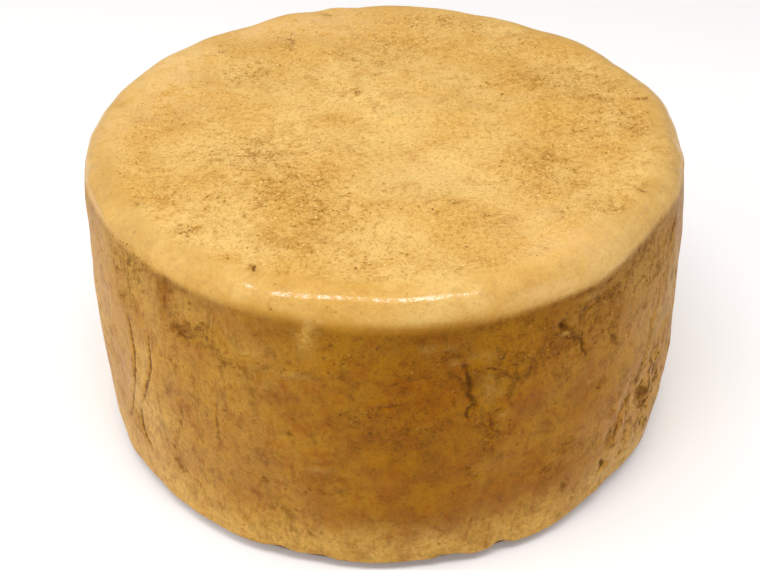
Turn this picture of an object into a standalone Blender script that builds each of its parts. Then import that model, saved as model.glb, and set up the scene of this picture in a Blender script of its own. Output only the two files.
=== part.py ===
"""A whole sheep cheese wheel with its natural rind, as one solid standing on its flat foot.

The form is a profile turned round the upright axis: a flat top, a soft shoulder, a slightly
bellied side, a ragged lip and an undercut foot. Relief is then pressed into it along the
profile's own normal: slow swellings, a proud collar below the rim, named creases, a crack,
pits, pale folds and a rough torn patch. Sizes are in metres, azimuths in degrees, with 0
towards -Y and positive towards +X.
"""
import math

import bmesh
import bpy
import numpy as np

NODE = "cheese_wheel"
MM = 0.001

# Main sizes.
RIM_RADIUS = 0.0950
BASE_RADIUS = 0.0969
HEIGHT = 0.1010
SHOULDER_RADIUS = 0.0081
BELLY = 0.0018
BASE_SHIFT = 0.0010

# The lip that hangs over the foot, and the flat foot inside it.
LIP_HEIGHT = 0.0042
LIP_RADIUS = 0.0011
LIP_TURN = 80.0
UNDERCUT = 0.0042
LIP_REACH = 0.0120
FOOT_CALM = 0.0030
FLAT_TOLERANCE = 1e-5

# The wheel is not quite round: lobes, size of the swelling, azimuth of the first one.
PLAN_WAVES = ((2, 0.00019, 58.0), (3, 0.00057, -40.0))

# How finely the surface is laid out before it is thinned, and the faces kept.
COLUMNS = 480
TOP_ROWS = 56
SHOULDER_ROWS = 9
SIDE_ROWS = 78
LIP_ROWS = 4
FOOT_ROWS = 3
KEPT_FACES = 9800
SHARP_ANGLE = 50.0

# Slow swellings of the rind: wavelength and height of each.
SWELLINGS = ((0.046, 0.00030), (0.024, 0.00018), (0.013, 0.00008))
SWELLING_SEED = 11
WAVES_EACH = 26
WAVE_SPREAD = (0.75, 1.35)

# The collar: how proud it stands, how wide its step is and how far below it the side takes
# to come back out.
COLLAR_PROUD = 0.00050
COLLAR_STEP = 0.0030
COLLAR_FADE = 0.0130

# Height of the collar's lower edge round the wheel, azimuth and millimetres.
COLLAR_EDGE = (
    (-180, 95.5), (-120, 94.5), (-85, 96.0), (-60, 96.6), (-51, 95.9), (-41, 95.3), (-31, 94.5),
    (-20, 94.2), (-8, 92.2), (10, 91.5), (25, 91.6), (38, 91.8), (46, 93.6), (58, 95.8),
    (90, 94.5), (130, 96.0), (180, 95.5),
)

# Height of the lip round the wheel, azimuth and millimetres.
LIP_EDGE = (
    (-180, 4.4), (-172, 5.6), (-160, 4.0), (-140, 4.9), (-131, 6.2), (-127, 4.3), (-108, 4.8),
    (-92, 4.2), (-74, 4.4), (-62, 5.3), (-50, 5.1), (-43, 3.9), (-34, 4.4), (-24, 4.0),
    (-20, 5.5), (-17, 3.7), (-12, 4.4), (-9.5, 3.3), (7.5, 3.3), (9.2, 4.6), (12, 4.4), (15, 3.2),
    (18, 3.2), (20.3, 5.5), (23, 3.4), (31, 3.4), (37, 4.4), (41, 5.4), (52, 5.6), (64, 5.0),
    (80, 4.4), (97, 5.6), (101, 4.2), (123, 4.9), (139, 4.1), (146, 5.9), (151, 4.3), (180, 4.4),
)

# How far the foot of the side is pushed out or drawn in, azimuth and millimetres.
FOOT_PUSH = (
    (-180, 0.1), (-150, -0.4), (-115, 0.3), (-90, 0.3), (-76, 0.3), (-62, -0.4), (-48, -0.2),
    (-30, 0.3), (-18, 0.5), (2, 0.4), (14, 0.2), (24, 0.3), (30, 0.1), (38, -0.4), (52, -0.8),
    (62, -1.0), (74, -1.3), (84, -0.7), (96, 0.0), (118, -0.5), (146, 0.2), (180, 0.1),
)
FOOT_PUSH_REACH = 0.030
FOOT_PUSH_FROM = 0.5

# Broad hollows of the side: middle and half sizes in degrees and mm, depth in mm. One that
# stands proud has a depth below zero.
HOLLOWS = (
    ((76, 44), (13, 20), 0.95), ((103, 97), (9, 8), -0.80), ((132, 99), (7, 6), -0.70),
    ((-160, 99), (7, 6), -0.50),
)

# Every stroke: depth left at its ends, how full it is along its way, and the height and place
# of its raised banks as shares of its depth and half width.
END_DEPTH = 0.45
FULLNESS = 0.6
BANK_HEIGHT = 0.22
BANK_PLACE = 1.9

# Strokes on the side: way in (azimuth, height in mm), half width and depth in mm.
# Depth is below the surface; a fold that stands proud has a depth below zero.
CREASES = (
    (((-50.7, 73), (-50.3, 64), (-50.4, 52.5), (-51.1, 47.5)), 1.1, 0.80),
    (((-51.1, 47.5), (-52.9, 41), (-54.8, 34), (-56.6, 26)), 1.2, 0.40),
    (((-44.9, 70.5), (-44.6, 65.5), (-44.8, 59), (-47.1, 49), (-49.3, 41)), 1.1, 0.70),
    (((-51.0, 36), (-52.3, 28), (-51.6, 23), (-50.2, 20)), 1.6, 0.80),
    (((-48.3, 24), (-47.3, 20)), 0.9, 0.30),
    (((-56.8, 29), (-58.2, 23)), 1.5, 0.50),
    (((-57.7, 23), (-54.8, 22.6)), 0.9, 0.30),
    (((-37.2, 57), (-38.5, 45), (-40.6, 33.5), (-41.7, 27.6)), 1.0, 0.50),
    (((-41.7, 27.6), (-40.7, 23.4), (-38.9, 22), (-36.6, 21), (-34.2, 11)), 0.9, 0.30),
    (((-29.3, 67), (-29.9, 52), (-29.9, 45), (-30.2, 37)), 1.4, 0.35),
    (((-39.4, 95), (-39.8, 88), (-40.0, 82)), 2.2, 0.80),
    (((-37.2, 79.5), (-35.6, 77.3), (-33.3, 78.9)), 1.6, 0.80),
    (((-2.5, 65.6), (-0.3, 66.7), (2.3, 67.7)), 0.9, 0.45),
    (((-14.0, 44.6), (-9.4, 45.2)), 0.9, 0.35),
    (((-15.4, 15.8), (-13.0, 13.4)), 0.9, 0.35),
    (((9.1, 83.3), (11.6, 82.1), (12.7, 80.4), (13.2, 77.5)), 0.9, 0.60),
    (((13.2, 77.5), (13.8, 73), (13.8, 69.4), (13.6, 67.8), (14.5, 66.6), (14.6, 64.3)), 1.0, 1.40),
    (((14.6, 64.3), (13.5, 63.7), (13.3, 62), (13.8, 58.8)), 0.8, 1.10),
    (((16.6, 76), (18.0, 75), (19.2, 74.9)), 0.9, 0.50),
    (((20.5, 63), (19.0, 61), (18.1, 60.2)), 0.8, 0.40),
    (((17.1, 60.4), (17.8, 56.7), (17.0, 54)), 0.9, 0.35),
    (((16.3, 49.4), (16.5, 46.7)), 0.9, 0.35),
    (((17.8, 47), (17.6, 44)), 0.9, 0.35),
    (((13.8, 39), (15.2, 37.2)), 0.8, 0.50),
    (((31.0, 78.4), (33.0, 76.6), (35.1, 75), (35.3, 72), (36.4, 68)), 1.2, 0.80),
    (((41.5, 87.8), (39.2, 85), (37.4, 84), (35.9, 83.6)), 0.9, 0.35),
    (((41.3, 73.7), (44.1, 66.5)), 1.1, 0.30),
    (((32.6, 22.6), (33.6, 15.8)), 0.9, 0.45),
    (((35.5, 11.3), (37.3, 17.7)), 0.9, 0.35),
    (((55.8, 66.6), (55.2, 62), (54.2, 56.5), (52.7, 51.8), (51.1, 46.8), (50.3, 39.9)), 1.3, 0.80),
    (((68.3, 62.2), (70.0, 52), (68.9, 48), (66.3, 43)), 1.2, 0.80),
    (((61.0, 51), (58.8, 49.2), (55.2, 47.8), (53.3, 47.3)), 1.1, 0.70),
    (((65.7, 42.4), (61.4, 42), (57.6, 41.3), (54.1, 40.6)), 1.1, 0.70),
    (((65.4, 89.9), (63.0, 83.4)), 1.6, 0.60),
    (((96, 74), (97.5, 60), (95.8, 47), (98, 36)), 1.2, 0.90),
    (((121, 88), (123, 80), (121.5, 71)), 1.3, 0.80),
    (((118, 52), (127, 49), (133, 51)), 1.0, 0.50),
    (((152, 66), (153.5, 55), (151, 43), (153, 30)), 1.1, 0.80),
    (((171, 81), (176, 78), (179, 79)), 1.4, 0.70),
    (((-172, 58), (-170, 46), (-172.5, 34)), 1.0, 0.70),
    (((-149, 76), (-148, 66), (-150, 55), (-147, 45)), 1.2, 0.90),
    (((-128, 40), (-126, 31), (-128, 22)), 1.3, 0.70),
    (((-110, 85), (-108.5, 74), (-111, 62)), 1.2, 0.80),
    (((-96, 60), (-94.5, 49), (-97, 38), (-95.4, 28)), 1.1, 0.70),
    (((-80, 80), (-78.5, 70), (-80.5, 60)), 1.2, 0.70),
)
FOLDS = (
    (((-11.9, 92.6), (-12.5, 87.4), (-13.7, 83.7)), 2.2, -0.50),
    (((-18.5, 74.6), (-15.8, 74.9), (-13.0, 77.3)), 1.0, -0.45),
    (((-14.4, 42.4), (-9.6, 42.9)), 1.0, -0.25),
    (((15.5, 77), (16.8, 72), (17.5, 69.5), (17.5, 66.5)), 1.5, -0.50),
    (((39.8, 90.1), (37.8, 88.5), (36.1, 86.3), (34.2, 85.7)), 1.2, -0.45),
    (((55.5, 44.6), (61.0, 45.6), (67.0, 45)), 1.2, -0.70),
    (((56.0, 53), (62.0, 53.8), (67.5, 52.6)), 1.6, -0.70),
    (((104, 90), (107, 86), (112, 85)), 1.4, -0.45),
    (((139, 77), (146, 79), (150, 77)), 1.3, -0.45),
    (((-162, 88), (-158, 84), (-156, 78)), 1.6, -0.50),
    (((-118, 54), (-113, 52), (-108, 53)), 1.3, -0.40),
    (((-90, 91), (-86, 88), (-82, 89)), 1.4, -0.45),
)
PITS = (
    (((30.9, 82.8), (31.7, 80.6)), 1.5, 1.60),
    (((50.8, 38.6), (49.8, 35.5)), 1.5, 1.90),
    (((49.7, 33.3), (49.6, 32.6)), 0.9, 0.80),
    (((46.4, 32.6), (45.6, 29.4)), 1.1, 1.10),
    (((46.2, 24.0), (45.5, 23.3)), 1.1, 0.90),
    (((43.1, 20.2), (44.3, 16.6), (42.9, 15.4)), 1.4, 1.20),
    (((49.7, 17.0), (48.9, 14.4)), 1.0, 0.90),
    (((56.9, 31.9), (55.2, 31.2)), 1.1, 1.20),
    (((59.0, 28.3), (58.7, 27.6)), 1.1, 1.10),
    (((54.2, 30.3), (54.1, 29.7)), 0.9, 0.80),
    (((56.3, 23.4), (55.9, 22.6)), 1.2, 0.90),
    (((58.1, 25.2), (58.0, 24.4)), 1.0, 0.90),
    (((59.8, 33.8), (57.8, 32.4)), 1.1, 1.10),
    (((52.6, 22.8), (52.3, 22.2)), 0.9, 0.60),
    (((56.6, 15.7), (56.0, 13.7)), 1.1, 0.90),
    (((52.4, 14.0), (52.2, 13.4)), 0.9, 0.60),
    (((66.8, 33.0), (68.4, 27.0)), 1.5, 1.10),
    (((64.0, 38.6), (66.0, 36.0)), 1.4, 1.10),
    (((71.5, 44.0), (73.0, 40.0)), 1.4, 1.00),
    (((68.4, 68.0), (69.6, 64.0)), 1.6, 0.80),
    (((11.9, 74.6), (13.0, 71.6)), 1.5, 0.60),
    (((-14.3, 32.9), (-14.0, 32.7)), 0.9, 0.50),
    (((13.3, 41.4), (13.5, 41.2)), 0.8, 0.50),
    (((39.4, 54.1), (40.0, 53.6)), 0.8, 0.45),
    (((-55.2, 38.2), (-54.6, 38.6)), 1.0, 0.50),
)

# The torn, pitted patch low on the right: middle and half sizes, how fast it fades at its
# edge, its lumps, and how far it is sunk, as a share of their height.
ROUGH_MIDDLE = (58.0, 34.0)
ROUGH_HALF = (21.0, 24.0)
ROUGH_EDGE = 1.6
ROUGH_SEED = 31
ROUGH_WAVELENGTHS = (0.0105, 0.0062)
ROUGH_HEIGHT = 0.00037
ROUGH_SUNK = 0.64

# Strokes on the top: way in (x, y) mm, half width and depth in mm.
TOP_MARKS = (
    (((18.6, -48.3), (22.4, -47.6)), 1.5, 0.50),
    (((-35.4, -77.8), (-35.0, -80.2)), 1.3, 0.55),
    (((-72.2, -45.2), (-69.8, -46.8)), 1.7, 0.45),
    (((85.2, 11.8), (86.0, 13.0)), 1.6, 0.60),
    (((74.2, -40.6), (77.2, -42.4)), 1.8, 0.45),
    (((-35.0, 64.0), (-32.0, 62.0), (-32.4, 56.0)), 2.0, 0.45),
    (((-23.0, 84.5), (-18.0, 82.8)), 2.6, 0.95),
    (((-21.0, 88.5), (-13.0, 90.0)), 2.4, -0.75),
    (((-58.3, -57.6), (-53.7, -63.6)), 1.6, 0.45),
    (((-9.5, 20.4), (-6.5, 21.8)), 1.5, 0.35),
    (((-8.7, -75.0), (-4.6, -77.0), (-7.2, -79.6)), 0.9, 0.25),
    (((47.0, -28.0), (51.0, -21.0)), 1.8, 0.35),
)

# Small pits and short creases scattered over what the front marks leave bare: where, how
# long, how slanting, how wide and how deep, in degrees and millimetres.
SCATTER_SEED = 17
SCATTER_PITS = 46
SCATTER_ROUND = (74.0, 298.0)
SCATTER_UP = (12.0, 90.0)
SCATTER_REACH = (0.5, 1.6)
SCATTER_LEAN = (-1.6, 1.6)
SCATTER_HALF_WIDTH = (1.0, 1.7)
SCATTER_DEPTH = (0.35, 1.05)

# The rind.
RIND_COLOUR = (0.640, 0.385, 0.120, 1.0)
RIND_ROUGHNESS = 0.42


def clear_scene():
    """Removes every object that the file starts with."""
    for item in list(bpy.data.objects):
        bpy.data.objects.remove(item, do_unlink=True)


def smooth(value):
    """Eases a value between 0 and 1."""
    value = np.clip(value, 0.0, 1.0)
    return value * value * (3.0 - 2.0 * value)


def round_the_wheel(table, azimuth):
    """Reads a table of (azimuth, millimetres) at the given azimuths, in metres."""
    degrees, values = zip(*table)
    wrapped = (azimuth + 180.0) % 360.0 - 180.0
    return np.interp(wrapped, degrees, values) * MM


def outline():
    """The outline from the top's middle down to the foot's edge, as (radius, height) points."""
    flat = RIM_RADIUS - SHOULDER_RADIUS
    points = [(flat * step / TOP_ROWS, HEIGHT) for step in range(TOP_ROWS + 1)]
    side_top = HEIGHT - SHOULDER_RADIUS
    for step in range(1, SHOULDER_ROWS + 1):
        turn = 0.5 * math.pi * step / SHOULDER_ROWS
        points.append((flat + SHOULDER_RADIUS * math.sin(turn), side_top + SHOULDER_RADIUS * math.cos(turn)))
    side_low = LIP_HEIGHT + LIP_RADIUS
    for step in range(1, SIDE_ROWS + 1):
        height = side_top + (side_low - side_top) * step / SIDE_ROWS
        points.append((float(side_radius(height)), height))
    for step in range(1, LIP_ROWS + 1):
        turn = math.radians(LIP_TURN) * step / LIP_ROWS
        reach = BASE_RADIUS - LIP_RADIUS * (1.0 - math.cos(turn))
        points.append((reach, side_low - LIP_RADIUS * math.sin(turn)))
    last_radius, last_height = points[-1]
    for step in range(1, FOOT_ROWS + 1):
        share = step / FOOT_ROWS
        reach = last_radius + (BASE_RADIUS - UNDERCUT - last_radius) * share
        points.append((reach, last_height * (1.0 - share)))
    return points


def plan_factor(azimuth):
    """How far the wheel leaves the round, in metres at the given azimuths."""
    total = np.zeros_like(azimuth)
    for lobes, size, first in PLAN_WAVES:
        total += size * np.cos(np.radians(lobes * (azimuth - first)))
    return total


def body_points(radius, height, azimuth):
    """Points of the plain turned body, before any relief."""
    lean = BASE_SHIFT * (0.5 - height / HEIGHT)
    reach = radius + plan_factor(azimuth) * np.clip(radius / RIM_RADIUS, 0.0, 1.0)
    turn = np.radians(azimuth)
    return np.stack([reach * np.sin(turn) + lean, -reach * np.cos(turn), height], axis=-1)


def side_radius(height):
    """Radius of the plain side at a height."""
    side_top = HEIGHT - SHOULDER_RADIUS
    share = np.clip((side_top - height) / (side_top - LIP_HEIGHT - LIP_RADIUS), 0.0, 1.0)
    return RIM_RADIUS + (BASE_RADIUS - RIM_RADIUS) * share + BELLY * 4.0 * share * (1.0 - share)


def side_way(way):
    """Turns a way in (azimuth, mm up) into points on the plain side."""
    azimuth, height = np.array(way, dtype=float).T
    return body_points(side_radius(height * MM), height * MM, azimuth)


def top_way(way):
    """Turns a way in (x, y) mm into points on the top."""
    return np.array([(x * MM, y * MM, HEIGHT) for x, y in way])


def distance_to_way(points, way):
    """Distance of every point from a bent line, and how far along it the nearest place is."""
    best = np.full(len(points), np.inf)
    share = np.zeros(len(points))
    count = len(way) - 1
    for index in range(count):
        start, run = way[index], way[index + 1] - way[index]
        along = np.clip(((points - start) @ run) / max(float(run @ run), 1e-12), 0.0, 1.0)
        gap = np.linalg.norm(points - start - along[:, None] * run, axis=1)
        nearer = gap < best
        best = np.where(nearer, gap, best)
        share = np.where(nearer, (index + along) / count, share)
    return best, share


def stroke(points, way, half_width, depth):
    """Offset of a crease, fold or pit: a soft trough with slightly raised banks."""
    gap, share = distance_to_way(points, way)
    taper = END_DEPTH + (1.0 - END_DEPTH) * np.sin(np.pi * np.clip(share, 0.0, 1.0)) ** FULLNESS
    trough = np.exp(-(gap / half_width) ** 2)
    banks = BANK_HEIGHT * np.exp(-((gap - BANK_PLACE * half_width) / half_width) ** 2)
    return -depth * taper * (trough - banks)


def swell_field(points, wavelength, seed):
    """A smooth random field of about unit height with the given wavelength."""
    draw = np.random.default_rng(seed)
    total = np.zeros(len(points))
    for _ in range(WAVES_EACH):
        way = draw.normal(size=3)
        way *= 2.0 * np.pi / (wavelength * draw.uniform(*WAVE_SPREAD) * np.linalg.norm(way))
        total += np.sin(points @ way + draw.uniform(0.0, 2.0 * np.pi))
    return total * math.sqrt(2.0 / WAVES_EACH)


def scattered_strokes():
    """Small pits all round the back and the unseen side, like those in front."""
    draw = np.random.default_rng(SCATTER_SEED)
    strokes = []
    for _ in range(SCATTER_PITS):
        azimuth, height = draw.uniform(*SCATTER_ROUND), draw.uniform(*SCATTER_UP)
        reach, lean = draw.uniform(*SCATTER_REACH), draw.uniform(*SCATTER_LEAN)
        way = ((azimuth, height), (azimuth + reach, height + lean))
        strokes.append((way, draw.uniform(*SCATTER_HALF_WIDTH), draw.uniform(*SCATTER_DEPTH)))
    return strokes


def relief(points, height, azimuth):
    """Offset of the rind from the plain body at every point, in metres."""
    offset = np.zeros(len(points))
    for index, (wavelength, size) in enumerate(SWELLINGS):
        offset += size * swell_field(points, wavelength, SWELLING_SEED + index)
    for (middle, level), (wide, tall), depth in HOLLOWS:
        far = ((azimuth - middle) / wide) ** 2 + ((height / MM - level) / tall) ** 2
        offset -= depth * MM * np.exp(-far)
    below = round_the_wheel(COLLAR_EDGE, azimuth) - height
    fading = np.exp(-np.clip(below, 0.0, None) / COLLAR_FADE)
    offset -= COLLAR_PROUD * smooth(below / COLLAR_STEP + 0.5) * fading
    for way, half_width, depth in CREASES + FOLDS + PITS + tuple(scattered_strokes()):
        offset += stroke(points, side_way(way), half_width * MM, depth * MM)
    for way, half_width, depth in TOP_MARKS:
        offset += stroke(points, top_way(way), half_width * MM, depth * MM)
    across = (azimuth - ROUGH_MIDDLE[0]) / ROUGH_HALF[0]
    up = (height / MM - ROUGH_MIDDLE[1]) / ROUGH_HALF[1]
    patch = smooth(ROUGH_EDGE * (1.0 - np.hypot(across, up)))
    for index, wavelength in enumerate(ROUGH_WAVELENGTHS):
        offset += patch * ROUGH_HEIGHT * swell_field(points, wavelength, ROUGH_SEED + index)
    offset -= patch * ROUGH_HEIGHT * ROUGH_SUNK
    return offset


def spun_body():
    """The plain wheel: its outline spun round the upright axis, open at the foot."""
    shape = bmesh.new()
    line = [shape.verts.new((0.0, -radius, height)) for radius, height in outline()]
    edges = [shape.edges.new(pair) for pair in zip(line, line[1:])]
    bmesh.ops.spin(
        shape, geom=line + edges, cent=(0, 0, 0), axis=(0, 0, 1), steps=COLUMNS,
        angle=2.0 * math.pi, use_merge=True,
    )
    bmesh.ops.remove_doubles(shape, verts=shape.verts[:], dist=1e-6)
    bmesh.ops.recalc_face_normals(shape, faces=shape.faces[:])
    mesh = bpy.data.meshes.new(NODE)
    shape.to_mesh(mesh)
    shape.free()
    return mesh


def press_relief(mesh):
    """Moves every vertex of the plain wheel to where the real, uneven rind lies."""
    count = len(mesh.vertices)
    flat = np.empty(3 * count, dtype=np.float32)
    mesh.vertices.foreach_get("co", flat)
    plain = flat.reshape(-1, 3).astype(float)
    mesh.vertices.foreach_get("normal", flat)
    normal = flat.reshape(-1, 3).astype(float)
    radius, height = np.hypot(plain[:, 0], plain[:, 1]), plain[:, 2]
    azimuth = np.degrees(np.arctan2(plain[:, 0], -plain[:, 1]))
    outer = smooth((radius / RIM_RADIUS - FOOT_PUSH_FROM) / (1.0 - FOOT_PUSH_FROM))
    points = body_points(radius, height, azimuth)
    offset = relief(points, height, azimuth) * smooth(height / FOOT_CALM)
    push = outer * round_the_wheel(FOOT_PUSH, azimuth) * (1.0 - smooth(height / FOOT_PUSH_REACH))
    rise = round_the_wheel(LIP_EDGE, azimuth) - LIP_HEIGHT
    rise *= (1.0 - smooth((height - LIP_HEIGHT) / LIP_REACH)) * np.clip(height / LIP_HEIGHT, 0.0, 1.0)
    turn = np.radians(azimuth)
    points += normal * offset[:, None]
    points += np.stack([push * np.sin(turn), -push * np.cos(turn), rise], axis=-1)
    points[height < FLAT_TOLERANCE, 2] = 0.0
    mesh.vertices.foreach_set("co", points.astype(np.float32).ravel())
    mesh.update()


def thinned(mesh):
    """Thins the mesh to the kept number of faces, finer where the relief is sharper."""
    item = bpy.data.objects.new(NODE, mesh)
    bpy.context.collection.objects.link(item)
    thin = item.modifiers.new("thin", "DECIMATE")
    thin.decimate_type = "COLLAPSE"
    thin.ratio = KEPT_FACES / (2.0 * len(mesh.polygons))
    graph = bpy.context.evaluated_depsgraph_get()
    result = bpy.data.meshes.new_from_object(item.evaluated_get(graph))
    item.modifiers.remove(thin)
    item.data = result
    return item


def close_foot(item):
    """Sets the foot ring exactly level and closes it with one flat face."""
    shape = bmesh.new()
    shape.from_mesh(item.data)
    edges = [edge for edge in shape.edges if edge.is_boundary]
    for vertex in {vertex for edge in edges for vertex in edge.verts}:
        vertex.co.z = 0.0
    bmesh.ops.dissolve_degenerate(shape, dist=FLAT_TOLERANCE, edges=shape.edges[:])
    edges = [edge for edge in shape.edges if edge.is_boundary]
    bmesh.ops.contextual_create(shape, geom=edges)
    bmesh.ops.recalc_face_normals(shape, faces=shape.faces[:])
    low = [min(vertex.co[axis] for vertex in shape.verts) for axis in (0, 1)]
    high = [max(vertex.co[axis] for vertex in shape.verts) for axis in (0, 1)]
    for vertex in shape.verts:
        vertex.co.x -= 0.5 * (low[0] + high[0])
        vertex.co.y -= 0.5 * (low[1] + high[1])
    shape.to_mesh(item.data)
    shape.free()


def rind():
    """The rind's material."""
    material = bpy.data.materials.new("rind")
    material.use_nodes = True
    shader = material.node_tree.nodes["Principled BSDF"]
    shader.inputs["Base Color"].default_value = RIND_COLOUR
    shader.inputs["Roughness"].default_value = RIND_ROUGHNESS
    shader.inputs["Metallic"].default_value = 0.0
    material.diffuse_color = RIND_COLOUR
    return material


def build():
    """Builds the wheel."""
    clear_scene()
    mesh = spun_body()
    press_relief(mesh)
    item = thinned(mesh)
    close_foot(item)
    item.data.materials.clear()
    item.data.materials.append(rind())
    item.data.shade_smooth()
    item.data.set_sharp_from_angle(angle=math.radians(SHARP_ANGLE))
    print(NODE, "faces", len(item.data.polygons), "size", [round(value, 5) for value in item.dimensions])


build()
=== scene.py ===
"""Looks of a whole wheel of sheep cheese: a waxy golden top, an amber side and a creased natural rind.

The wheel's form follows the same sizes as its solid. On top of them come the fine skin, the
stains, the mould specks and the flakes that only a close look shows.
"""
import logging
import math
from dataclasses import dataclass

import bmesh
import bpy
import numpy as np
from mathutils import Matrix, Vector


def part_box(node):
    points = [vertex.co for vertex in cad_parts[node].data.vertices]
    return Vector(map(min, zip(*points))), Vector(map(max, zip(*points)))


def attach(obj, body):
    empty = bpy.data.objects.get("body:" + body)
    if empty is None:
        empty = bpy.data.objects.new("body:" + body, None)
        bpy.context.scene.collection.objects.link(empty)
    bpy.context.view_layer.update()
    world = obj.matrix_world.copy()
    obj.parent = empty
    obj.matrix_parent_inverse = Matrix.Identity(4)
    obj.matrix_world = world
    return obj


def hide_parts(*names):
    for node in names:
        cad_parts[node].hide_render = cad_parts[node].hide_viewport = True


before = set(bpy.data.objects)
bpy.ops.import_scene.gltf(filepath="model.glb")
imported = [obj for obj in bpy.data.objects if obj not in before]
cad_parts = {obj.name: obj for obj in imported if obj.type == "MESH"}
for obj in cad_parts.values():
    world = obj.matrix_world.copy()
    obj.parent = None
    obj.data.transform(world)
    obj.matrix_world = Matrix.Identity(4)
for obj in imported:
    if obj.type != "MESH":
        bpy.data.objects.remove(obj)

LOG = logging.getLogger("cheese")
MM = 0.001
NODE = "cheese_wheel"
BODY = "root"
WAVE_SPREAD = (0.75, 1.35)  # Shortest and longest wave of a swelling, as shares of its wavelength.
FLOOR_SNAP = 1e-5  # What lies lower than this, in metres, is set on the floor.
FULL_TURN = 6.283

Array = np.ndarray
Pair = tuple[float, float]
Pairs = tuple[Pair, ...]
Triple = tuple[float, float, float]
Colour = tuple[float, float, float, float]


@dataclass(frozen=True)
class Stroke:
    """A crease, a pit or a fold: a bent line on the rind, pressed in or standing proud.

    On the side a way's points are azimuth in degrees and height in millimetres. On the top they
    are x and y in millimetres. Half width and depth are in millimetres too. A depth below zero
    stands proud.
    """

    way: Pairs
    half_width: float
    depth: float
    # How dark the stroke is drawn: partly dirt, partly painted shade in the crease or pit.
    dirt_and_shade: float = 0.0


@dataclass(frozen=True)
class Blot:
    """A stain, a pale patch or a hollow: its middle, its half sizes and how strong or deep it is.

    Its units are those of a stroke's way, in degrees and millimetres or in millimetres alone.
    """

    middle: Pair
    half: Pair
    strength: float

    def at(self, across: Array, up: Array) -> Array:
        """How strong or deep it is at given places."""
        far = ((across - self.middle[0]) / self.half[0]) ** 2 + ((up - self.middle[1]) / self.half[1]) ** 2
        return self.strength * np.exp(-far)


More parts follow.
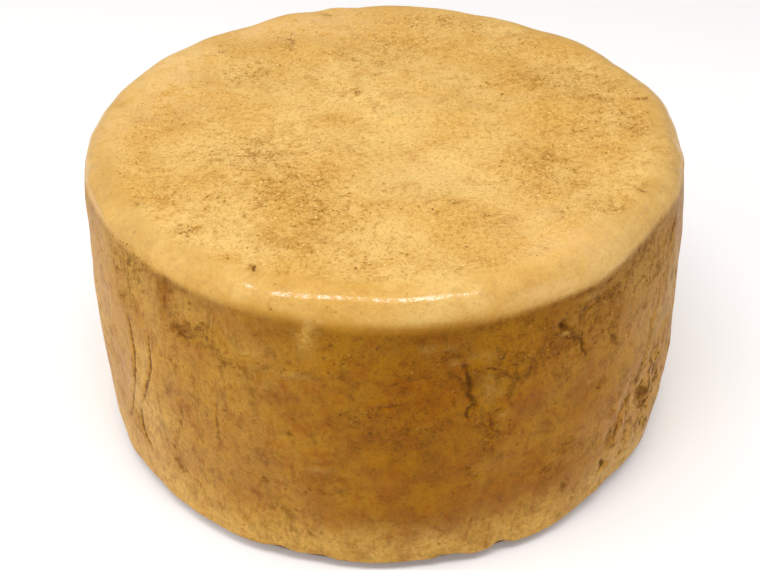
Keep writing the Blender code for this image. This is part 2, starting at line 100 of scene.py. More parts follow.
CREASES: tuple[Stroke, ...] = tuple(Stroke(*row) for row in (
    (((-50.7, 73), (-50.3, 64), (-50.4, 52.5), (-51.1, 47.5)), 1.1, 0.8, 0.88),
    (((-51.1, 47.5), (-52.9, 41), (-54.8, 34), (-56.6, 26)), 1.2, 0.4, 0.6),
    (((-44.9, 70.5), (-44.6, 65.5), (-44.8, 59), (-47.1, 49), (-49.3, 41)), 1.1, 0.7, 0.75),
    (((-51, 36), (-52.3, 28), (-51.6, 23), (-50.2, 20)), 1.6, 0.8, 0.75),
    (((-48.3, 24), (-47.3, 20)), 0.9, 0.3, 0.4), (((-56.8, 29), (-58.2, 23)), 1.5, 0.5, 0.5),
    (((-57.7, 23), (-54.8, 22.6)), 0.9, 0.3, 0.55),
    (((-37.2, 57), (-38.5, 45), (-40.6, 33.5), (-41.7, 27.6)), 1, 0.5, 0.52),
    (((-41.7, 27.6), (-40.7, 23.4), (-38.9, 22), (-36.6, 21), (-34.2, 11)), 0.9, 0.3, 0.52),
    (((-29.3, 67), (-29.9, 52), (-29.9, 45), (-30.2, 37)), 1.4, 0.35, 0.35),
    (((-39.4, 95), (-39.8, 88), (-40, 82)), 2.2, 0.8, 0.35),
    (((-37.2, 79.5), (-35.6, 77.3), (-33.3, 78.9)), 1.6, 0.8, 0.45),
    (((-2.5, 65.6), (-0.3, 66.7), (2.3, 67.7)), 0.9, 0.45, 0.55),
    (((-14, 44.6), (-9.4, 45.2)), 0.9, 0.35, 0.3), (((-15.4, 15.8), (-13, 13.4)), 0.9, 0.35, 0.4),
    (((9.1, 83.3), (11.6, 82.1), (12.7, 80.4), (13.2, 77.5)), 0.9, 0.6, 0.5),
    (((13.2, 77.5), (13.8, 73), (13.8, 69.4), (13.6, 67.8), (14.5, 66.6), (14.6, 64.3)), 0.8, 1.4, 0.8),
    (((14.6, 64.3), (13.5, 63.7), (13.3, 62), (13.8, 58.8)), 0.8, 1.1, 0.95),
    (((16.6, 76), (18, 75), (19.2, 74.9)), 0.9, 0.5, 0.8),
    (((20.5, 63), (19, 61), (18.1, 60.2)), 0.8, 0.4, 0.55),
    (((17.1, 60.4), (17.8, 56.7), (17, 54)), 0.9, 0.35, 0.5),
    (((16.3, 49.4), (16.5, 46.7)), 0.9, 0.35, 0.6), (((17.8, 47), (17.6, 44)), 0.9, 0.35, 0.55),
    (((13.8, 39), (15.2, 37.2)), 0.8, 0.5, 0.75),
    (((31, 78.4), (33, 76.6), (35.1, 75), (35.3, 72), (36.4, 68)), 1.2, 0.8, 0.7),
    (((41.5, 87.8), (39.2, 85), (37.4, 84), (35.9, 83.6)), 0.9, 0.35, 0.55),
    (((41.3, 73.7), (44.1, 66.5)), 1.1, 0.3, 0.45), (((32.6, 22.6), (33.6, 15.8)), 0.9, 0.45, 0.45),
    (((35.5, 11.3), (37.3, 17.7)), 0.9, 0.35, 0.4),
    (((55.8, 66.6), (55.2, 62), (54.2, 56.5), (52.7, 51.8), (51.1, 46.8), (50.3, 39.9)), 1.3, 0.8, 0.45),
    (((68.3, 62.2), (70, 52), (68.9, 48), (66.3, 43)), 1.2, 0.8, 0.6),
    (((61, 51), (58.8, 49.2), (55.2, 47.8), (53.3, 47.3)), 1.1, 0.7, 0.45),
    (((65.7, 42.4), (61.4, 42), (57.6, 41.3), (54.1, 40.6)), 1.1, 0.7, 0.4),
    (((65.4, 89.9), (63, 83.4)), 1.6, 0.6, 0.6),
    (((96, 74), (97.5, 60), (95.8, 47), (98, 36)), 1.2, 0.9, 0.7),
    (((121, 88), (123, 80), (121.5, 71)), 1.3, 0.8, 0.6),
    (((118, 52), (127, 49), (133, 51)), 1, 0.5, 0.5),
    (((152, 66), (153.5, 55), (151, 43), (153, 30)), 1.1, 0.8, 0.6),
    (((171, 81), (176, 78), (179, 79)), 1.4, 0.7, 0.7),
    (((-172, 58), (-170, 46), (-172.5, 34)), 1, 0.7, 0.5),
    (((-149, 76), (-148, 66), (-150, 55), (-147, 45)), 1.2, 0.9, 0.75),
    (((-128, 40), (-126, 31), (-128, 22)), 1.3, 0.7, 0.6),
    (((-110, 85), (-108.5, 74), (-111, 62)), 1.2, 0.8, 0.6),
    (((-96, 60), (-94.5, 49), (-97, 38), (-95.4, 28)), 1.1, 0.7, 0.5),
    (((-80, 80), (-78.5, 70), (-80.5, 60)), 1.2, 0.7, 0.5),
))
HAIRLINES: tuple[Stroke, ...] = tuple(Stroke(*row) for row in (
    (((-32, 56), (-32.1, 52), (-32.2, 48.7)), 0.7, 0.12, 0.55),
    (((-37.5, 45.4), (-34.4, 45.1), (-32.3, 45.4)), 0.7, 0.12, 0.45),
    (((-37.1, 34), (-34.6, 32.4), (-32.1, 31.9)), 0.7, 0.12, 0.5),
    (((-28.8, 56.8), (-27.4, 57.4)), 0.8, 0.12, 0.6),
    (((-54, 60), (-54.4, 50), (-55.6, 42)), 0.7, 0.12, 0.35),
    (((-33.4, 62), (-33.8, 54), (-34.6, 46), (-35, 38)), 0.7, 0.12, 0.35),
    (((62, 84), (61, 74), (60, 66)), 0.7, 0.2, 0.5),
    (((58.4, 78), (57.6, 70), (56.8, 62)), 0.7, 0.2, 0.55),
    (((35.9, 86.2), (38.6, 88), (42.5, 90), (46.5, 92)), 1, 0.2, 0.5),
    (((65, 78), (64.2, 68), (63.4, 58)), 0.8, 0.2, 0.5),
))
FOLDS: tuple[Stroke, ...] = tuple(Stroke(*row) for row in (
    (((-11.9, 92.6), (-12.5, 87.4), (-13.7, 83.7)), 2.2, -0.5),
    (((-18.5, 74.6), (-15.8, 74.9), (-13, 77.3)), 1, -0.45), (((-14.4, 42.4), (-9.6, 42.9)), 1, -0.25),
    (((15.5, 77), (16.8, 72), (17.5, 69.5), (17.5, 66.5)), 1.5, -0.5),
    (((39.8, 90.1), (37.8, 88.5), (36.1, 86.3), (34.2, 85.7)), 1.2, -0.45),
    (((55.5, 44.6), (61, 45.6), (67, 45)), 1.2, -0.7), (((56, 53), (62, 53.8), (67.5, 52.6)), 1.6, -0.7),
    (((104, 90), (107, 86), (112, 85)), 1.4, -0.45), (((139, 77), (146, 79), (150, 77)), 1.3, -0.45),
    (((-162, 88), (-158, 84), (-156, 78)), 1.6, -0.5), (((-118, 54), (-113, 52), (-108, 53)), 1.3, -0.4),
    (((-90, 91), (-86, 88), (-82, 89)), 1.4, -0.45),
))
PITS: tuple[Stroke, ...] = tuple(Stroke(*row) for row in (
    (((30.9, 82.8), (31.7, 80.6)), 1.5, 1.6, 0.95), (((48.9, 39.8), (48, 36.4)), 1.3, 1.9, 1),
    (((49.7, 33.3), (49.6, 32.6)), 0.9, 0.8, 0.9), (((46.4, 32.6), (45.6, 29.4)), 1.1, 1.1, 0.9),
    (((46.2, 24), (45.5, 23.3)), 1.1, 0.9, 0.75),
    (((43.1, 20.2), (44.3, 16.6), (42.9, 15.4)), 1.4, 1.2, 0.8),
    (((49.7, 17), (48.9, 14.4)), 1, 0.9, 0.75), (((56.9, 31.9), (55.2, 31.2)), 1.1, 1.2, 0.85),
    (((59, 28.3), (58.7, 27.6)), 1.1, 1.1, 0.85), (((54.2, 30.3), (54.1, 29.7)), 0.9, 0.8, 0.8),
    (((56.3, 23.4), (55.9, 22.6)), 1.2, 0.9, 0.6), (((58.1, 25.2), (58, 24.4)), 1, 0.9, 0.8),
    (((59.8, 33.8), (57.8, 32.4)), 1.1, 1.1, 0.8), (((52.6, 22.8), (52.3, 22.2)), 0.9, 0.6, 0.7),
    (((56.6, 15.7), (56, 13.7)), 1.1, 0.9, 0.7), (((52.4, 14), (52.2, 13.4)), 0.9, 0.6, 0.6),
    (((66.8, 33), (68.4, 27)), 1.5, 1.1, 0.75), (((64, 38.6), (66, 36)), 1.4, 1.1, 0.75),
    (((71.5, 44), (73, 40)), 1.4, 1, 0.7), (((68.4, 68), (69.6, 64)), 1.6, 0.8, 0.5),
    (((11.9, 74.6), (13, 71.6)), 1.5, 0.6, 0.6), (((-14.3, 32.9), (-14, 32.7)), 0.9, 0.5, 0.95),
    (((13.3, 41.4), (13.5, 41.2)), 0.8, 0.5, 0.9), (((39.4, 54.1), (40, 53.6)), 0.8, 0.45, 0.8),
    (((-55.2, 38.2), (-54.6, 38.6)), 1, 0.5, 0.7),
))
TOP_MARKS: tuple[Stroke, ...] = tuple(Stroke(*row) for row in (
    (((18.6, -48.3), (22.4, -47.6)), 1.5, 0.5, 0.5), (((-35.4, -77.8), (-35, -80.2)), 1.3, 0.55, 0.58),
    (((-72.2, -45.2), (-69.8, -46.8)), 1.7, 0.45, 0.36), (((85.2, 11.8), (86, 13)), 1.6, 0.6, 0.54),
    (((74.2, -40.6), (77.2, -42.4)), 1.8, 0.45, 0.4),
    (((-35, 64), (-32, 62), (-32.4, 56)), 2, 0.45, 0.32), (((-23, 84.5), (-18, 82.8)), 2.6, 0.95, 0.32),
    (((-21, 88.5), (-13, 90)), 2.4, -0.75), (((-58.3, -57.6), (-53.7, -63.6)), 1.6, 0.45, 0.29),
    (((-9.5, 20.4), (-6.5, 21.8)), 1.5, 0.35, 0.4),
    (((-8.7, -75), (-4.6, -77), (-7.2, -79.6)), 0.9, 0.25, 0.29),
    (((47, -28), (51, -21)), 1.8, 0.35, 0.22),
))
SIDE_STAINS: tuple[Blot, ...] = tuple(Blot(*row) for row in (
    ((-50.5, 90), (4.2, 7), 0.65), ((-45, 93.5), (4, 2), 0.55), ((-50.5, 79), (3.4, 3.4), 0.6),
    ((-38, 87), (2.4, 5), 0.55), ((-34.2, 89), (0.8, 1.8), 0.5), ((-31, 84), (2, 1), 0.6),
    ((-34.6, 78.4), (4.2, 2.8), 0.8), ((-54, 28), (2.6, 6), 0.5), ((-41, 24), (1.6, 4), 0.4),
    ((-14.9, 90.5), (1.7, 3), 0.55), ((-18.4, 76), (2.2, 1.5), 0.6), ((-9.4, 63.5), (0.8, 5), 0.4),
    ((0, 66.7), (3, 1.2), 0.45), ((4, 60), (9, 5), 0.35), ((3.2, 79), (2.6, 7), 0.45),
    ((8, 82), (5, 4), 0.3), ((12.2, 73.5), (1.8, 3), 0.65), ((17.8, 75.4), (2.2, 1.6), 0.6),
    ((30, 78), (12, 12), 0.45), ((20.4, 78.2), (1.8, 1.4), 0.5), ((26, 75), (2.2, 1.4), 0.45),
    ((17, 49.8), (2.2, 3.6), 0.6), ((17.3, 57), (1.2, 4), 0.4), ((14.3, 61.5), (1.7, 4), 0.4),
    ((31.2, 81.8), (1.3, 2.2), 0.8), ((34.4, 74), (2, 4.5), 0.5), ((39, 85.5), (3.4, 2.4), 0.5),
    ((42.6, 70), (1.8, 4.5), 0.55), ((33, 19.5), (1, 3.8), 0.4), ((36.4, 14.5), (1, 3.5), 0.35),
    ((28, 30), (2.4, 4), 0.6), ((33, 36), (2.2, 5), 0.5), ((10.7, 34), (0.9, 3), 0.35),
    ((-19, 24), (2, 3), 0.35), ((64, 86.5), (2.6, 3.5), 0.55), ((57, 30), (8, 13), 0.45),
    ((59, 47.5), (6, 5), 0.4), ((-65, 50), (5, 12), 0.3), ((20, 52), (3, 3), 0.3),
    ((47, 86), (8, 6), 0.45), ((56, 83), (6, 9), 0.45), ((37, 79), (8, 7), 0.4),
    ((-32, 80.5), (4.6, 2.8), 0.6), ((-27.5, 75), (3.4, 2.2), 0.6), ((-17, 76), (4, 1.6), 0.55),
    ((-12, 35), (2, 3), 0.5), ((-5, 63), (3, 2.5), 0.45), ((22, 79.5), (4, 3), 0.35),
    ((36.5, 87), (4, 2.6), 0.4), ((21, 71), (3.6, 7), 0.4), ((-47, 97), (6, 3), 0.7),
))
SIDE_SPOTS: Pairs = (
    (-28.3, 86), (-28, 80.5), (-31.2, 78), (-44.1, 96.7), (-40.5, 97.9), (-29.2, 96.5), (-22.6, 55.5),
    (-22.6, 13.7), (-21.9, 33.5), (-20.9, 73), (-16, 79.4), (-18.5, 96.5), (-15, 97.6), (-10.1, 91),
    (-10.2, 85), (-8.3, 86.3), (-10, 81.2), (-6.6, 81.7), (-7, 76.2), (-7.2, 72.3), (-16.3, 54.7),
    (-6, 54.8), (11.1, 66.3), (13.3, 41.4), (21.8, 69), (18.9, 70.7), (24.8, 76), (27.5, 74), (29.4, 53.7),
    (39.4, 54.1), (52, 8.5), (-36.8, 86.4), (-34.2, 90), (5.1, 101), (18.3, 100.8), (20.6, 100.4),
    (21.4, 97.2),
)
TOP_STAINS: tuple[Blot, ...] = tuple(Blot(*row) for row in (
    ((10, 72), (22, 6), 0.35), ((2, 57), (16, 7), 0.5), ((-4, 45), (14, 6), 0.4),
    ((-34, 61), (6, 6), 0.65), ((-47, 36), (12, 10), 0.45), ((-9, 22), (4, 3), 0.55),
    ((-40, -16), (13, 10), 0.6), ((-28, -38), (20, 14), 0.55), ((-14, -54), (12, 8), 0.45),
    ((58, 28), (24, 14), 0.4), ((74, 6), (10, 12), 0.4), ((50, -26), (9, 16), 0.3),
    ((20.6, -48), (3.6, 2), 0.85), ((75.7, -41.6), (3.2, 2.2), 0.7), ((68, -50), (4, 3.4), 0.55),
    ((85.6, 12.4), (1.8, 1.8), 0.95), ((31, -56), (4.4, 4), 0.45), ((-71, -46), (4, 2.6), 0.65),
    ((-65, -40), (6, 6), 0.4), ((-55, -61), (3.6, 4.5), 0.55), ((-35.2, -79), (1.8, 2.2), 0.8),
    ((-74, 3), (7, 8), 0.4), ((-20.5, 83.8), (5, 3.4), 0.55), ((30, 75), (9, 5), 0.45),
    ((48, 60), (10, 8), 0.35), ((-62, 12), (9, 10), 0.3), ((-7, -76), (5, 4), 0.45),
    ((25, -77), (7, 2.4), 0.35), ((-24, -68), (12, 5), 0.35), ((-18, -55), (3.2, 2.4), 0.6),
    ((-6.5, -60.4), (2.6, 2.2), 0.6), ((75, 26), (8, 5), 0.35), ((50, -34), (15, 13), 0.35),
    ((76, -6), (12, 12), 0.35), ((86, -28), (6, 11), 0.45), ((-86, -30), (6, 12), 0.35),
))
TOP_SPOTS: Pairs = (
    (-49.5, -12), (-45.6, -9), (-34, -14.4), (-51, -21), (-43, -24), (-43.6, -36), (-65, -32.6), (-68.7, 9),
    (-74, 2.4), (-51.3, -43), (-35.7, -46), (-52.5, -59), (-36.7, 10.6), (-20.8, -37.6), (-19, -45.5),
    (-8.7, -75), (-4.6, -77), (-7.2, -79.6), (-1.5, -84.4), (5.9, -80.4), (-27.8, -35), (-10.5, -40),
    (-28, -80), (-1.6, -56), (81, 9.7), (70.4, 12), (79.2, 25.5), (81, -3.8), (72, -48.3), (66, -51),
    (59.7, -7), (48, -51), (50.4, -54), (43.2, -71.4), (-33, 62.7), (-37.3, 59), (-55.8, 51.8), (-61, 50.2),
    (-48.5, 48.5), (-43.6, 33.2), (-65.5, 37.4), (-14.8, 55.7), (-0.2, 42), (9.6, 56), (7.5, 33.6),
    (12, 47.4), (-8, 21), (-31.6, 54), (-3.4, 65.3), (28.5, -54.1), (33.1, -57.7), (40.6, -73.9),
    (19.3, -79.4), (21.5, -78.5), (27.5, -74.5), (12.2, -48.3), (14.6, -54), (21.5, -68.4), (33.3, 70.3),
    (45.5, 66.6), (53.2, 63.8), (49.2, 50.9), (54.9, 29.6), (39, 24.6), (68.4, 15.5), (41.5, 12.7),
    (34, 9.9), (26.8, 36.3), (73.4, 35.8), (64.6, 24.8), (25.2, 54.2),
)
SIDE_PALE: tuple[Blot, ...] = tuple(Blot(*row) for row in (
    ((-12.6, 88.5), (1.9, 5.5), 0.85), ((-10.6, 94.2), (0.8, 0.5), 0.6), ((-15.6, 75.4), (3, 1.2), 0.6),
    ((-22.8, 79.2), (2, 2.4), 0.6), ((8, 85), (4, 1.4), 0.4), ((16.3, 79.8), (2.4, 1.5), 0.4),
    ((17, 70), (0.9, 6), 0.4), ((19.5, 66.6), (0.8, 1.2), 0.45), ((19.6, 58.5), (0.8, 1), 0.4),
    ((11.6, 79.2), (1.1, 1.1), 0.45), ((31.6, 79.3), (0.8, 0.6), 1), ((37.4, 87.9), (3, 1.2), 0.65),
    ((-12, 43), (3, 0.9), 0.5), ((-0.7, 38.5), (0.4, 0.5), 0.9), ((-26, 25.2), (0.7, 0.6), 0.9),
    ((37.6, 57.9), (0.9, 0.8), 0.6), ((-34.5, 86), (2.4, 2), 0.35), ((-46.5, 80), (3, 3), 0.3),
    ((29, 95.8), (10, 2.6), 0.65), ((41.5, 91.5), (2.4, 0.9), 0.7), ((45, 93.2), (2.2, 0.8), 0.6),
))
SIDE_TANNED: tuple[Blot, ...] = tuple(Blot(*row) for row in (
    ((-39.6, 88), (1.7, 8), 0.95), ((-19, 87), (6, 3), 0.6), ((4, 78), (9, 7), 0.35),
    ((5, 64), (8, 4), 0.55), ((11, 40), (5, 14), 0.35), ((-2, 48), (7, 6), 0.3),
))
TOP_PALE: tuple[Blot, ...] = tuple(Blot(*row) for row in (
    ((-76, 46), (16, 18), 0.7), ((-52, 72), (16, 10), 0.65), ((48, -68), (18, 9), 0.45),
    ((-86, 0), (7, 20), 0.5), ((40, -50), (10, 10), 0.25), ((12, -30), (14, 10), 0.25),
    ((-22, 74), (24, 13), 0.6), ((-70, 20), (13, 16), 0.5),
))


def linear(red: float, green: float, blue: float) -> Colour:
    """Turns a screen colour of 0 to 255 into the renderer's own numbers, by the sRGB curve.

    Args:
        red: Red as the eye sees it on screen.
        green: Green, likewise.
        blue: Blue, likewise.

    Returns:
        The colour as red, green, blue and alpha from 0 to 1.
    """
    shares = [value / 255.0 for value in (red, green, blue)]
    lit = [s / 12.92 if s <= 0.04045 else ((s + 0.055) / 1.055) ** 2.4 for s in shares]
    return (lit[0], lit[1], lit[2], 1.0)


def ramp(value: Array, start: float | Array, end: float | Array) -> Array:
    """Eases from 0 where a value is at the start to 1 where it is at the end."""
    share = np.clip((value - start) / (end - start), 0.0, 1.0)
    return share * share * (3.0 - 2.0 * share)


def swell_field(points: Array, wavelength: float, seed: int, waves: int = 26) -> Array:
    """A smooth random field over points in space.

    Args:
        points: Points in metres, one a row.
        wavelength: Distance between neighbouring swellings, in metres.
        seed: Seed of the draw.
        waves: How many waves are added up.

    Returns:
        Values of about unit height, one a point.
    """
    draw = np.random.default_rng(seed)
    total = np.zeros(len(points))
    for _ in range(waves):
        way = draw.normal(size=3)
        way *= 2.0 * np.pi / (wavelength * draw.uniform(*WAVE_SPREAD) * np.linalg.norm(way))
        total += np.sin(points @ way + draw.uniform(0.0, 2.0 * np.pi))
    return total * math.sqrt(2.0 / waves)


def distance_to_way(points: Array, way: Array) -> tuple[Array, Array]:
    """Finds how far points lie from a bent line.

    Args:
        points: Points in metres, one a row.
        way: The line's own points.

    Returns:
        The distance of every point, and how far along the line its nearest place is, from 0 to 1.
    """
    best, share = np.full(len(points), np.inf), np.zeros(len(points))
    count = len(way) - 1
    for index in range(count):
        start, run = way[index], way[index + 1] - way[index]
        along = np.clip(((points - start) @ run) / float(run @ run), 0.0, 1.0)
        gap = np.linalg.norm(points - start - along[:, None] * run, axis=1)
        nearer = gap < best
        best = np.where(nearer, gap, best)
        share = np.where(nearer, (index + along) / count, share)
    return best, share


def near_way(points: Array, way: Array, reach: float) -> Array:
    """Numbers of the points in a box round a bent line, a given reach larger than the line."""
    low, high = way.min(axis=0) - reach, way.max(axis=0) + reach
    return np.flatnonzero(np.all((points > low) & (points < high), axis=1))


def points_of(mesh: bpy.types.Mesh) -> Array:
    """Reads a mesh's points.

    Args:
        mesh: The mesh.

    Returns:
        The points in metres, one a row.
    """
    flat = np.empty(3 * len(mesh.vertices), dtype=np.float32)
    mesh.vertices.foreach_get("co", flat)
    return flat.reshape(-1, 3)


def move_points(mesh: bpy.types.Mesh, points: Array) -> None:
    """Puts a mesh's points where they are told to be."""
    mesh.vertices.foreach_set("co", points.astype(np.float32).ravel())
    mesh.update()


def stand(name: str, data: bpy.types.ID) -> bpy.types.Object:
    """Puts an object into the scene.

    Args:
        name: The object's name.
        data: Its mesh or lamp.

    Returns:
        The object.
    """
    item = bpy.data.objects.new(name, data)
    bpy.context.collection.objects.link(item)
    return item


@dataclass
class WheelForm:
    """The wheel's sizes in metres, and where its uneven rind lies.

    The tables go round the wheel by azimuth in degrees. Those of edges and pushes, and how wide
    the collar's blend is, are in millimetres, and the rest are shares. Hollows, the torn patch and
    scattered pits are in degrees and millimetres, as strokes are.
    """

    rim_radius: float = 0.0950
    base_radius: float = 0.0969
    height: float = 0.1010
    shoulder: float = 0.0081
    belly: float = 0.0018
    base_shift: float = 0.0010
    lip_height: float = 0.0042
    lip_radius: float = 0.0011
    lip_turn: float = 80.0
    undercut: float = 0.0042
    lip_reach: float = 0.0120
    foot_calm: float = 0.0030
    plan_waves: tuple[tuple[int, float, float], ...] = ((2, 0.00019, 58.0), (3, 0.00057, -40.0))
    swellings: Pairs = ((0.046, 0.00030), (0.024, 0.00018), (0.013, 0.00008))
    hollows: tuple[Blot, ...] = (
        Blot((76, 44), (13, 20), 0.95), Blot((103, 97), (9, 8), -0.80), Blot((132, 99), (7, 6), -0.70),
        Blot((-160, 99), (7, 6), -0.50), Blot((119, 98), (7, 7), -0.90),
    )
    collar_proud: float = 0.00050
    collar_step: float = 0.0030
    collar_fade: float = 0.0130
    collar_edge: Pairs = (
        (-180, 95.5), (-120, 94.5), (-85, 96.0), (-60, 96.6), (-51, 95.9), (-41, 95.3),
        (-31, 94.5), (-20, 94.2), (-8, 92.2), (10, 91.5), (25, 91.6), (38, 91.8), (46, 93.6),
        (58, 95.8), (90, 94.5), (130, 96.0), (180, 95.5),
    )
    lip_edge: Pairs = (
        (-180, 4.4), (-172, 5.6), (-160, 4.0), (-140, 4.9), (-131, 6.2), (-127, 4.3), (-108, 4.8),
        (-92, 4.2), (-74, 4.4), (-62, 5.3), (-50, 5.1), (-43, 3.9), (-34, 4.4), (-24, 4.0),
        (-20, 5.5), (-17, 3.7), (-12, 4.4), (-9.5, 3.3), (7.5, 3.3), (9.2, 4.6), (12, 4.4),
        (15, 3.2), (18, 3.2), (20.3, 5.5), (23, 3.4), (31, 3.4), (37, 4.4), (41, 5.4), (52, 5.6),
        (64, 5.0), (80, 4.4), (97, 5.6), (101, 4.2), (123, 4.9), (139, 4.1), (146, 5.9),
        (151, 4.3), (180, 4.4),
    )
    foot_push: Pairs = (
        (-180, 0.1), (-150, -0.4), (-115, 0.3), (-90, 0.3), (-76, 0.3), (-62, -0.4), (-48, -0.2),
        (-30, 0.3), (-18, 0.5), (2, 0.4), (14, 0.2), (24, 0.3), (30, 0.1), (38, -0.4), (52, -0.8),
        (62, -1.0), (74, -1.3), (84, -0.7), (96, 0.0), (118, -0.5), (146, 0.2), (180, 0.1),
    )
    foot_reach: float = 0.030
    # Paleness of the side by azimuth: partly paler rind, partly painted sheen where the side turns away at
    # left and right.
    side_paleness: Pairs = (
        (-180, 0.35), (-140, 0.15), (-100, 0.45), (-72, 0.95), (-45, 0.86), (-30, 0.55), (-18, 0.34),
        (-8, 0.12), (5, 0.0), (25, 0.06), (40, 0.25), (52, 0.60), (66, 0.65), (90, 0.40), (135, 0.10),
        (180, 0.35),
    )
    jostle: Pair = (0.0036, 0.00019)
    # Duller, darker collar away from the front: partly tone, partly painted shade where less light falls.
    rim_tone_and_shade: Pairs = (
        (-180, 0.60), (-75, 1.20), (-50, 1.15), (-28, 0.40), (0, 0.0), (30, 0.0), (48, 0.70),
        (75, 1.10), (180, 0.55),
    )
    torn_middle: Pair = (58.0, 34.0)
    torn_half: Pair = (21.0, 24.0)
    torn_edge: float = 1.6
    torn_lengths: tuple[float, ...] = (0.0105, 0.0062)
    torn_height: float = 0.00037
    torn_sunk: float = 0.64
    collar_blend: Pairs = (
        (-180, 2.6), (-60, 2.4), (-30, 2.6), (-15, 6.5), (12, 6.5), (20, 3.0), (38, 2.2), (90, 2.6),
        (180, 2.6),
    )
    golden_share: Pairs = (
        (-180, 0.20), (-30, 0.20), (-18, 0.80), (12, 0.95), (19, 0.25), (36, 0.05), (60, 0.20),
        (180, 0.20),
    )
    swelling_seed: int = 11
    torn_seed: int = 31
    jostle_seed: int = 51
    scatter_seed: int = 17
    scatter_pits: int = 46
    scatter_span: Pair = (74.0, 298.0)
    scatter_heights: Pair = (12.0, 90.0)
    scatter_reach: Pair = (0.5, 1.6)
    scatter_lean: Pair = (-1.6, 1.6)
    scatter_half: Pair = (1.0, 1.7)
    scatter_depth: Pair = (0.35, 1.05)
    # How dark the scattered pits are drawn: partly dirt, partly painted shade in them.
    scatter_dirt_and_shade: float = 0.7

    @property
    def side_top(self) -> float:
        """Height at which the shoulder meets the side."""
        return self.height - self.shoulder

    def side_radius(self, height: Array) -> Array:
        """Finds the plain side's radius.

        Args:
            height: Heights in metres.

        Returns:
            The radius at each height.
        """
        low = self.lip_height + self.lip_radius
        share = np.clip((self.side_top - height) / (self.side_top - low), 0.0, 1.0)
        bulge = self.belly * 4.0 * share * (1.0 - share)
        return self.rim_radius + (self.base_radius - self.rim_radius) * share + bulge

    def body_points(self, radius: Array, height: Array, azimuth: Array) -> Array:
        """Places points of the plain wheel, with its lobes and its slight lean.

        Args:
            radius: Radii in metres.
            height: Heights in metres.
            azimuth: Azimuths in degrees, 0 towards -Y.

        Returns:
            Points in metres, one a row.
        """
        lobes = sum(
            size * np.cos(np.radians(count * (azimuth - first))) for count, size, first in self.plan_waves
        )
        reach = radius + lobes * np.clip(radius / self.rim_radius, 0.0, 1.0)
        lean = self.base_shift * (0.5 - height / self.height)
        turn = np.radians(azimuth)
        return np.stack([reach * np.sin(turn) + lean, -reach * np.cos(turn), height], axis=-1)

    def side_way(self, way: Pairs) -> Array:
        """Turns a way in degrees and millimetres up into points on the plain side."""
        azimuth, height = np.array(way, dtype=float).T
        return self.body_points(self.side_radius(height * MM), height * MM, azimuth)

    def top_way(self, way: Pairs) -> Array:
        """Turns a way in x and y millimetres into points on the top."""
        return np.array([(x * MM, y * MM, self.height) for x, y in way])

    def scattered(self) -> list[Stroke]:
        """Scatters small pits round the side's unseen back, like those in front.

        Returns:
            The pits.
        """
        draw = np.random.default_rng(self.scatter_seed)
        strokes = []
        for _ in range(self.scatter_pits):
            azimuth, height = draw.uniform(*self.scatter_span), draw.uniform(*self.scatter_heights)
            reach, lean = draw.uniform(*self.scatter_reach), draw.uniform(*self.scatter_lean)
            way = ((azimuth, height), (azimuth + reach, height + lean))
            half, depth = draw.uniform(*self.scatter_half), draw.uniform(*self.scatter_depth)
            strokes.append(Stroke(way, half, depth, self.scatter_dirt_and_shade))
        return strokes

    def strokes(self) -> list[tuple[Stroke, Array]]:
        """Lists every stroke.

        Returns:
            The strokes, each with its way as points in space.
        """
        on_side = [*CREASES, *HAIRLINES, *FOLDS, *PITS, *self.scattered()]
        placed = [(stroke, self.side_way(stroke.way)) for stroke in on_side]
        return placed + [(stroke, self.top_way(stroke.way)) for stroke in TOP_MARKS]

    def read_round(self, table: Pairs, azimuth: Array) -> Array:
        """Reads a table of azimuth and value at given azimuths."""
        degrees, values = zip(*table)
        return np.interp((azimuth + 180.0) % 360.0 - 180.0, degrees, values)


